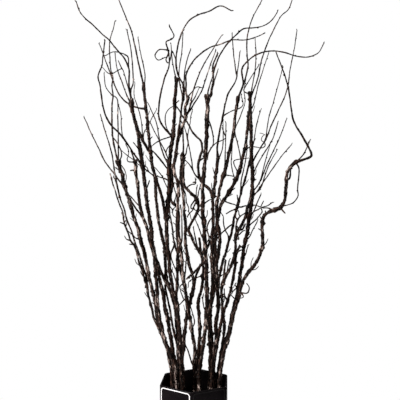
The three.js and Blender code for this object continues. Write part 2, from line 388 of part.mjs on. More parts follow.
    twigs: [
      { reach: -16, girth: [1.2, 0.9], route: [[70, 542], [66.4, 550], [62, 558], [59, 567],
        [57.8, 577], [57.4, 586], [54, 592], [51.4, 596]] },
      { reach: -20, girth: [1.3, 1], route: [[84.6, 601.4], [78, 599], [70, 595.6], [63.6, 591.6]] },
      { reach: -24, girth: [1.3, 0.9], route: [[87, 604], [94, 605], [100, 607], [109, 607.4],
        [123, 608.4], [131, 605]] },
      { reach: -16, girth: [1.2, 0.9], route: [[88.4, 615], [86.4, 622], [85, 630]] },
      { reach: -14, girth: [1.2, 0.9], route: [[92.8, 633], [93, 653], [97, 675], [101.4, 695],
        [104.8, 717], [106, 727]] },
    ],
  },
  {
    name: 'stem_15', girth: [3.3, 3.1], depth: [30, 55, 70],
    route: [[49, 277], [50.6, 291], [53, 305], [56.2, 318], [60.2, 330], [64.2, 341], [67.4, 352],
      [70, 364], [72.2, 376], [74.6, 388], [77.4, 400], [80.6, 412], [83.6, 424], [86, 436],
      [88.2, 448], [90, 459], [91.6, 471], [93.2, 482], [94.8, 493], [96.4, 505], [98, 516],
      [99.8, 527], [102, 538], [104, 549], [105.6, 560], [107.2, 571], [108.8, 581], [110.6, 592],
      [112.2, 603], [113.4, 613], [114.6, 623], [115.8, 635], [116.4, 647], [116.4, 659], [115.6, 675],
      [114.6, 691], [113.8, 709], [113.6, 729], [113.4, 749], [113, 769], [112, 789], [111, 809],
      [111, 823], [111.4, 834]],
    twigs: [
      { reach: 52, girth: [1.4, 0.8], route: [[114.6, 693], [133, 725], [142, 739], [154, 769],
        [169, 801], [185, 839], [191, 879], [199, 919], [205, 959]] },
      { reach: 28, girth: [1.1, 0.7], route: [[142, 739], [149, 785], [159, 819], [171, 863],
        [177, 887]] },
      { reach: -48, girth: [1.2, 0.8], route: [[116, 663], [120, 677], [131, 699], [157, 743],
        [167, 775]] },
      { reach: 60, girth: [1.3, 0.8], route: [[117.6, 637], [124, 645], [132, 658], [147, 695],
        [169, 741], [185, 783]] },
      { reach: 16, girth: [1.1, 0.7], route: [[132, 660], [139, 687], [153, 737]] },
      { reach: -28, girth: [1.2, 0.8], route: [[118, 627], [123, 633], [130, 640], [135, 649],
        [140, 665], [147, 685], [165, 719]] },
      { reach: 28, girth: [1.2, 0.8], route: [[116, 621], [127, 639], [153, 677], [173, 705],
        [195, 731]] },
      { reach: -20, girth: [1.1, 0.7], route: [[114, 719], [117, 729], [125, 773], [133, 801]] },
      { reach: -24, girth: [1.2, 0.9], route: [[110, 584], [116, 592], [121, 603], [126, 615],
        [133.6, 632]] },
      { reach: 32, girth: [1.3, 0.9], route: [[107, 566], [115, 573], [124, 581], [131, 589],
        [135, 596], [133, 605], [137, 615]] },
      { reach: -40, girth: [1.2, 0.8], route: [[111, 589], [119, 596], [127, 600], [134, 604],
        [145, 607], [157, 615]] },
      { reach: 20, girth: [1.2, 0.8], route: [[106, 537], [111, 547], [116, 558], [122, 569],
        [126.4, 578]] },
      { reach: 24, girth: [1.1, 0.8], route: [[100, 502], [102.4, 511], [105, 521], [108.2, 530.4]] },
      { reach: -16, girth: [1.1, 0.7], route: [[111, 831], [99, 837], [111, 861], [129, 889]] },
      { reach: 16, girth: [1.1, 0.9], route: [[88, 445], [82, 441], [77, 436], [73.6, 429.6]] },
      { reach: -10, girth: [1.2, 1], route: [[97, 505], [95, 509.4], [93.6, 510.4]] },
      { reach: 14, girth: [1.1, 0.8], route: [[84, 447], [81, 450], [84, 454]] },
    ],
  },
  {
    name: 'stem_16', girth: [2.9, 2.4], depth: [2, 10, 43],
    route: [[38.8, 277], [38.8, 289], [40.6, 303], [43.4, 317], [45.6, 331], [47.6, 344], [49.6, 356],
      [51.6, 367], [53.6, 377], [55.6, 387], [56.4, 398], [55.6, 409], [54.6, 420], [53.8, 431],
      [54.2, 442], [56.6, 451], [59.6, 459], [63, 467], [66.6, 474], [69.6, 480.4], [72.6, 487],
      [75.6, 494], [78.2, 501], [80.4, 509], [81.8, 518], [82.2, 529], [82.2, 539], [83, 548],
      [85.4, 555], [89, 561], [93, 567], [97, 574.4], [100.8, 582], [103.4, 591], [105, 600],
      [107.4, 609], [110.6, 617], [113.4, 625], [115.4, 635], [115.8, 647], [115.4, 657]],
    twigs: [
      { reach: 16, girth: [1.9, 1.7], route: [[57.4, 452], [58.8, 464], [59.8, 476], [61, 488],
        [62.6, 499]] },
      { reach: 12, girth: [1.1, 0.8], route: [[64, 469], [65.6, 479], [67.4, 489], [70.6, 501]] },
      { reach: 12, girth: [1.5, 1.2], route: [[93.6, 556], [96, 560.4], [99, 566], [101.6, 571.4]] },
      { reach: 12, girth: [1.2, 0.9], route: [[86, 546], [90.6, 551], [95, 555.6], [102, 559]] },
      { reach: -16, girth: [1.5, 1], route: [[83.6, 553], [83.4, 564], [84.6, 574], [87.6, 581.4],
        [92, 587], [98, 591], [104, 595]] },
      { reach: 14, girth: [1, 0.8], route: [[86.6, 580], [82.6, 584], [83, 592], [85, 598],
        [87.6, 598], [89, 592], [90.4, 586]] },
      { reach: -12, girth: [1, 0.8], route: [[85, 544], [88.4, 540], [88, 547]] },
    ],
  },
  {
    name: 'stem_17', girth: [2.7, 2.4], depth: [17, 49, 60],
    route: [[47.4, 277], [49, 291], [51, 304], [53.4, 317], [55.8, 329], [57.6, 341], [58.8, 353],
      [59.2, 365], [58.8, 377], [58.2, 388], [59.4, 398.4], [62.6, 407.4], [65.6, 416.4], [68.6, 426],
      [71.4, 436], [73.6, 446], [75.8, 456], [77.8, 466], [79.6, 476], [80.6, 486], [81.6, 496],
      [82, 506], [83.6, 514], [86.6, 520], [89.6, 525], [91.6, 529]],
    twigs: [
      { reach: 16, girth: [1.5, 1.1], route: [[83, 510], [86, 514.4], [89.6, 517.4], [93, 518.8],
        [96.6, 520]] },
      { reach: 8, girth: [1.6, 1.5], route: [[81.6, 492], [83.4, 493.4], [85.6, 494]] },
      { reach: 10, girth: [1.2, 1.1], route: [[60, 420], [60.8, 427], [59.8, 435], [59.4, 443]] },
    ],
  },
  {
    name: 'stem_18', girth: [3.5, 2.6], depth: [-10, -40, -60],
    route: [[52.6, 277], [54, 291], [56.6, 305], [60, 319], [63.8, 331], [67.2, 342], [70.2, 353],
      [72.8, 365], [75.2, 377], [77.8, 388], [80.8, 399], [83.8, 410], [86.8, 421], [89.4, 432],
      [92, 443], [95, 452], [98.6, 459.8], [103, 467.4], [108.2, 475], [113.6, 481.4], [119, 488],
      [124, 495], [128.2, 502.4], [131.8, 510.4], [134.4, 519], [135.8, 529], [136.4, 539],
      [136.2, 549], [135.4, 561], [135.6, 573], [137.4, 582], [141.6, 589], [148, 594.4], [155, 597.6],
      [162, 600.2], [169, 603], [175, 607.6], [179.4, 614.4], [181.4, 623], [182.2, 635], [183, 647],
      [183.8, 657], [183.8, 666], [186, 675], [190.4, 683], [195.6, 689], [201.6, 694.4], [205, 696.4]],
    twigs: [
      { reach: -60, girth: [1.9, 0.8], route: [[204, 695.6], [215, 699], [227, 703], [233, 707],
        [233, 713], [229, 723], [215, 747], [201, 771], [197, 781], [191, 819], [187, 847], [175, 883],
        [163, 915]] },
      { reach: 24, girth: [1.1, 0.8], route: [[203, 695], [217, 709], [227, 729], [232, 741]] },
      { reach: 40, girth: [1.1, 0.8], route: [[202, 694], [207, 687], [209, 679], [206, 639],
        [207, 627], [197, 613.6], [185, 609], [171, 605.6], [159, 603.4]] },
      { reach: -16, girth: [1.4, 1], route: [[170, 604], [181, 593]] },
      { reach: 16, girth: [1.2, 0.9], route: [[157, 599], [147, 603], [135, 603]] },
      { reach: -28, girth: [1.1, 0.8], route: [[90, 434.4], [97, 433], [105, 433], [109, 439],
        [109, 445], [104, 453]] },
      { reach: -16, girth: [1, 0.8], route: [[94, 433], [96.6, 429], [97.6, 425], [92, 422.4]] },
      { reach: -16, girth: [1.1, 0.9], route: [[87, 419], [80, 422], [73, 429]] },
      { reach: 14, girth: [1.4, 1.2], route: [[185, 658], [189.6, 662], [191.4, 670], [192, 679],
        [194.6, 685]] },
    ],
  },
  {
    name: 'stem_19', girth: [2.8, 2.4], depth: [42, 3, -16],
    route: [[-30, 277], [-27.8, 291], [-25.4, 305], [-23.8, 317], [-23.2, 328], [-24.6, 339],
      [-27.2, 348], [-29.4, 357], [-31, 367], [-32.2, 379], [-32.6, 391], [-33.2, 403], [-34.6, 415],
      [-36, 427], [-35.6, 438], [-34.8, 449], [-34.4, 461], [-34.4, 474], [-34, 487], [-34.2, 499],
      [-33.6, 511], [-33, 522], [-33.6, 534], [-34.4, 547], [-35, 561], [-35, 575], [-34.4, 589],
      [-34.4, 599], [-36, 606], [-40, 610.6], [-44.2, 614], [-47, 619], [-48, 627], [-47, 638],
      [-45.4, 649], [-44.6, 661], [-44.6, 673], [-44.8, 683], [-44, 691]],
    twigs: [
      { reach: 16, girth: [1.1, 0.8], route: [[-35.4, 447], [-37.4, 457], [-39.8, 464.4], [-42.4, 472],
        [-45, 478], [-47.6, 482]] },
      { reach: -14, girth: [1, 0.7], route: [[-46.4, 639], [-42, 647], [-40, 654], [-37, 652],
        [-34.6, 644]] },
      { reach: 12, girth: [1.1, 0.8], route: [[-36, 618], [-37, 629], [-39.8, 640], [-42, 650]] },
    ],
  },
  {
    name: 'stem_20', girth: [2.7, 1.4], depth: [-16, 40, 70],
    route: [[-22, 277], [-23.8, 291], [-23.6, 305], [-21.2, 319], [-20.4, 331], [-20.4, 343],
      [-19.2, 357], [-17.6, 369], [-16.2, 383], [-15.4, 397], [-16, 411], [-17.2, 425], [-19, 439],
      [-21.4, 450], [-24.2, 460], [-27, 469], [-29, 479], [-29.8, 490], [-31.2, 500], [-33.8, 509],
      [-36.2, 518], [-38, 526], [-40.2, 534], [-42.4, 542], [-43.6, 551], [-44, 561], [-45, 570],
      [-47, 579], [-49, 589], [-50.2, 599], [-50.2, 611]],
    twigs: [
      { reach: 14, girth: [1.3, 0.9], route: [[-39.4, 530], [-43, 522.4], [-46.2, 515], [-47.2, 508.6],
        [-45, 498], [-42, 489.6], [-39, 483], [-36.4, 478]] },
      { reach: -12, girth: [1, 0.8], route: [[-21.8, 451], [-26.4, 449.4], [-29.4, 445],
        [-28.2, 440.2], [-24.4, 438.4], [-21, 434]] },
      { reach: 12, girth: [1, 0.8], route: [[-17, 418.4], [-21.4, 421], [-24.4, 427.4], [-27, 434.4],
        [-28.6, 439]] },
      { reach: -10, girth: [1.2, 0.9], route: [[-16.6, 421], [-20.4, 419.8], [-25, 415], [-29, 410.6],
        [-32, 408.2]] },
    ],
  },
];

// ---- Materials ----
const barkMaterial = new THREE.MeshStandardMaterial({ color: 0x33231c, roughness: 0.75, metalness: 0 });
const glazeMaterial = new THREE.MeshStandardMaterial({ color: 0x0b0908, roughness: 0.12, metalness: 0 });

// ---- Solids ----
function toSolid(geometry) {
  const bare = geometry.clone();
  bare.deleteAttribute('normal');
  bare.deleteAttribute('uv');
  const merged = mergeVertices(bare, 1e-4);
  return new wasm.Manifold(new wasm.Mesh({
    numProp: 3,
    vertProperties: new Float32Array(merged.attributes.position.array),
    triVerts: new Uint32Array(merged.index.array),
  }));
}

function toGeometry(solid) {
  const mesh = solid.getMesh();
  const geometry = new THREE.BufferGeometry();
  geometry.setAttribute('position', new THREE.BufferAttribute(mesh.vertProperties, 3));
  geometry.setIndex(new THREE.BufferAttribute(mesh.triVerts, 1));
  geometry.computeVertexNormals();
  return geometry;
}

// ---- The vase ----
// A hexagon whose corners are rounded by a short curve.
function hexagon(radius, round) {
  const corners = [];
  for (let i = 0; i < VASE_SIDES; i += 1) {
    const angle = VASE_TURN + (i * 2 * Math.PI) / VASE_SIDES;
    corners.push(new THREE.Vector2(radius * Math.cos(angle), radius * Math.sin(angle)));
  }
  const outline = [];
  corners.forEach((corner, i) => {
    const before = corners[(i + VASE_SIDES - 1) % VASE_SIDES];
    const after = corners[(i + 1) % VASE_SIDES];
    const start = corner.clone().lerp(before, round / radius);
    const end = corner.clone().lerp(after, round / radius);
    const bend = new THREE.QuadraticBezierCurve(start, corner, end);
    outline.push(...bend.getPoints(CORNER_STEPS));
  });
  return new THREE.Shape(outline);
}

// A hexagonal prism from z = bottom, with both of its ends bevelled.
function prism(radius, round, bottom, height, bevel) {
  const geometry = new THREE.ExtrudeGeometry(hexagon(radius, round), {
    depth: height - 2 * bevel,
    bevelEnabled: bevel > 0,
    bevelThickness: bevel,
    bevelSize: bevel,
    bevelOffset: -bevel,
    bevelSegments: 2,
    steps: 1,
  });
  geometry.translate(0, 0, bottom + bevel);
  return geometry;
}

function makeVase() {
  const slope = 2 / Math.sqrt(3); // a hexagon's corner radius over the distance to its sides
  const innerRadius = VASE_RADIUS - WALL * slope;
  const overshoot = 20;
  const outside = toSolid(prism(VASE_RADIUS, CORNER_ROUND, 0, VASE_HEIGHT, RIM_ROUND));
  const inside = toSolid(prism(innerRadius, CORNER_ROUND, FLOOR, VASE_HEIGHT + overshoot, FOOT_ROUND));
  const vase = new THREE.Mesh(toGeometry(outside.subtract(inside)), glazeMaterial);
  vase.name = 'vase';
  return vase;
}

// ---- The stems ----
// Where a point of the front elevation lies once it is moved back by depth.
function place([across, up], depth) {
  const spread = (EYE.away + depth) / EYE.away;
  return new THREE.Vector3(
    EYE.aside + (across - EYE.aside) * spread,
    depth,
    EYE.height + (up - EYE.height) * spread,
  );
}

// The reverse: where a point of the model is drawn on the front elevation.
function drawn(point) {
  const spread = (EYE.away + point.y) / EYE.away;
  return new THREE.Vector2(
    EYE.aside + (point.x - EYE.aside) / spread,
    EYE.height + (point.z - EYE.height) / spread,
  );
}

// A smooth depth through the three given ones: the parabola through three points.
function depthAt(depths, up) {
  const [low, middle, high] = DEPTH_LEVELS;
  const [a, b, c] = depths;
  return (a * (up - middle) * (up - high)) / ((low - middle) * (low - high))
    + (b * (up - low) * (up - high)) / ((middle - low) * (middle - high))
    + (c * (up - low) * (up - middle)) / ((high - low) * (high - middle));
}

// A stem's path: from its foot inside the vase, through the mouth and up its route.
function stemPath(stem) {
  const path = stem.route.map((point) => place(point, depthAt(stem.depth, point[1])));
  const foot = new THREE.Vector3(path[0].x * FOOT_DRAW, path[0].y, FLOOR + FOOT_GAP);
  return [foot, ...path];
}

// The point nearest to a drawn place, on any of the limbs made so far.
function springPoint(limbs, place2d) {
  let nearest = null;
  let smallest = Infinity;
  for (const limb of limbs) {
    for (let i = 0; i + 1 < limb.length; i += 1) {
      const a = drawn(limb[i]);
      const b = drawn(limb[i + 1]);
      const along = b.clone().sub(a);
      const t = THREE.MathUtils.clamp(place2d.clone().sub(a).dot(along) / along.lengthSq(), 0, 1);
      const miss = a.clone().addScaledVector(along, t).distanceTo(place2d);
      if (miss < smallest) {
        smallest = miss;
        nearest = limb[i].clone().lerp(limb[i + 1], t);
      }
    }
  }
  return nearest;
}

// A twig's path: its depth changes evenly along its length by its reach.
function twigPath(twig, limbs) {
  const start = springPoint(limbs, new THREE.Vector2(...twig.route[0]));
  const seen = [drawn(start), ...twig.route.slice(1).map((point) => new THREE.Vector2(...point))];
  const lengths = [0];
  for (let i = 1; i < seen.length; i += 1) {
    lengths.push(lengths[i - 1] + seen[i].distanceTo(seen[i - 1]));
  }
  const whole = lengths[lengths.length - 1];
  const rest = seen.slice(1).map((point, i) => (
    place([point.x, point.y], start.y + (twig.reach * lengths[i + 1]) / whole)
  ));
  return [start, ...rest];
}

// The same path without the points that the straight lines between the others pass closely:
// the point furthest from the line between the ends is kept, and both halves are thinned alike.
function thinned(path) {
  const line = new THREE.Line3(path[0], path[path.length - 1]);
  let widest = 0;
  let corner = 0;
  path.forEach((point, i) => {
    const nearest = line.closestPointToPoint(point, true, new THREE.Vector3());
    const miss = nearest.distanceTo(point);
    if (miss > widest) {
      widest = miss;
      corner = i;
    }
  });
  if (widest < SLACK) {
    return [path[0], path[path.length - 1]];
  }
  return [...thinned(path.slice(0, corner + 1)).slice(0, -1), ...thinned(path.slice(corner))];
}

// A closed tapering limb along a path: one ring of corners at each point, joined by faces,
// with a flat end at the foot and at the tip. The rings are turned by the path's direction and
// the depth axis, which no limb follows.
function limbGeometry(path, girth, faces) {
  const back = new THREE.Vector3(0, 1, 0);
  const positions = [];
  const index = [];
  path.forEach((point, i) => {
    const next = path[Math.min(i + 1, path.length - 1)];
    const previous = path[Math.max(i - 1, 0)];
    const forward = next.clone().sub(previous).normalize();
    const side = new THREE.Vector3().crossVectors(forward, back).normalize();
    const rear = new THREE.Vector3().crossVectors(side, forward);
    const radius = THREE.MathUtils.lerp(girth[0], girth[1], i / (path.length - 1));
    for (let k = 0; k < faces; k += 1) {
      const angle = ((k + 0.5) * 2 * Math.PI) / faces;
      const corner = point.clone();
      corner.addScaledVector(side, radius * Math.cos(angle));
      corner.addScaledVector(rear, -radius * Math.sin(angle));
      positions.push(corner.x, corner.y, corner.z);
    }
  });
  for (let i = 0; i + 1 < path.length; i += 1) {
    for (let k = 0; k < faces; k += 1) {
      const a = i * faces + k;
      const b = i * faces + ((k + 1) % faces);
      index.push(a, b, b + faces, a, b + faces, a + faces);
    }
  }
  const last = (path.length - 1) * faces;
  for (let k = 1; k + 1 < faces; k += 1) {
    index.push(0, k + 1, k);
    index.push(last, last + k, last + k + 1);
  }
  const geometry = new THREE.BufferGeometry();
  geometry.setAttribute('position', new THREE.Float32BufferAttribute(positions, 3));
  geometry.setIndex(index);
  return geometry;
}

function makeStem(stem) {
  const path = thinned(stemPath(stem));
  const limbs = [path];
  let solid = toSolid(limbGeometry(path, stem.girth, STEM_FACES));
  for (const twig of stem.twigs) {
    const twigWay = thinned(twigPath(twig, limbs));
    limbs.push(twigWay);
    solid = solid.add(toSolid(limbGeometry(twigWay, twig.girth, TWIG_FACES)));
  }
  const mesh = new THREE.Mesh(toGeometry(solid), barkMaterial);
  mesh.name = stem.name;
  return mesh;
}

// ---- The whole ----
const willow = new THREE.Group();
willow.add(makeVase());
for (const stem of STEMS) {
  willow.add(makeStem(stem));
}

export default willow;
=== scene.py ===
"""Willow stems in a black hexagonal vase: the bark, buds, cut ends and glaze.

The stems follow the same routes as the CAD stems. Each stem is one piece: a bark tube for the
stem and for each of its twigs, with forks, knots, buds and broken stubs on them. A tube is
path(s) + r(s, a) (side cos a - rear sin a): s runs along the limb and a turns round it. The
radius r is the limb's girth, times its swellings, times one plus its ridges and knots.
"""

import bpy
import numpy as np
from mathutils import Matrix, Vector


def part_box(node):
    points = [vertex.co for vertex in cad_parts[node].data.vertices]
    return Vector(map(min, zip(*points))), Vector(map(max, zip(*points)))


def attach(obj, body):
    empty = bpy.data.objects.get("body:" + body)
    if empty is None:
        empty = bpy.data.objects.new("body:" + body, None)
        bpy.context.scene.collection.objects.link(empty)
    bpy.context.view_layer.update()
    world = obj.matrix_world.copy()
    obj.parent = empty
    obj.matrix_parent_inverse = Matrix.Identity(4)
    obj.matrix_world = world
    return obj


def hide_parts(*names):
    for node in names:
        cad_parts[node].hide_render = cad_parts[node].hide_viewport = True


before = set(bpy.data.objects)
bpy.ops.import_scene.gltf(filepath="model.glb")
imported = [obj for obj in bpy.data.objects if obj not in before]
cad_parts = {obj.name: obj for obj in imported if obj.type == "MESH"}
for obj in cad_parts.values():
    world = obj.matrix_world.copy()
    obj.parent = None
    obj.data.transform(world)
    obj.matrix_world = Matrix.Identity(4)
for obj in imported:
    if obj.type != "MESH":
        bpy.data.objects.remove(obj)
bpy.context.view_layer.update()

MM = 0.001

# ---- How the stems stand, as in the CAD (mm) ----
# The routes lie on a front elevation, (across, up), as an eye in front of the vase sees them;
# the depth of each stem is given at three heights. The routes in STEMS are measured points,
# converted to mm and written out by a separate script: they aren't worked out from the
# dimensions here. The depths of eight stems and many of the twigs' changes of depth come from
# programs that searched for room between the stems.
EYE_ASIDE, EYE_AWAY, EYE_HEIGHT = 11, 1084, 619
DEPTH_LEVELS = (260, 600, 940)
FLOOR_THICKNESS = 8
FOOT_GAP = 0.5
FOOT_DRAW = 0.7

# ---- The vase (mm) ----
VASE_RADIUS = 75
VASE_TURN = np.radians(-94)
VASE_SIDES = 6
WALL = 4
CORNER_ARC = 8.5
RIM_ARC = 1.9
FOOT_ARC = 2.2

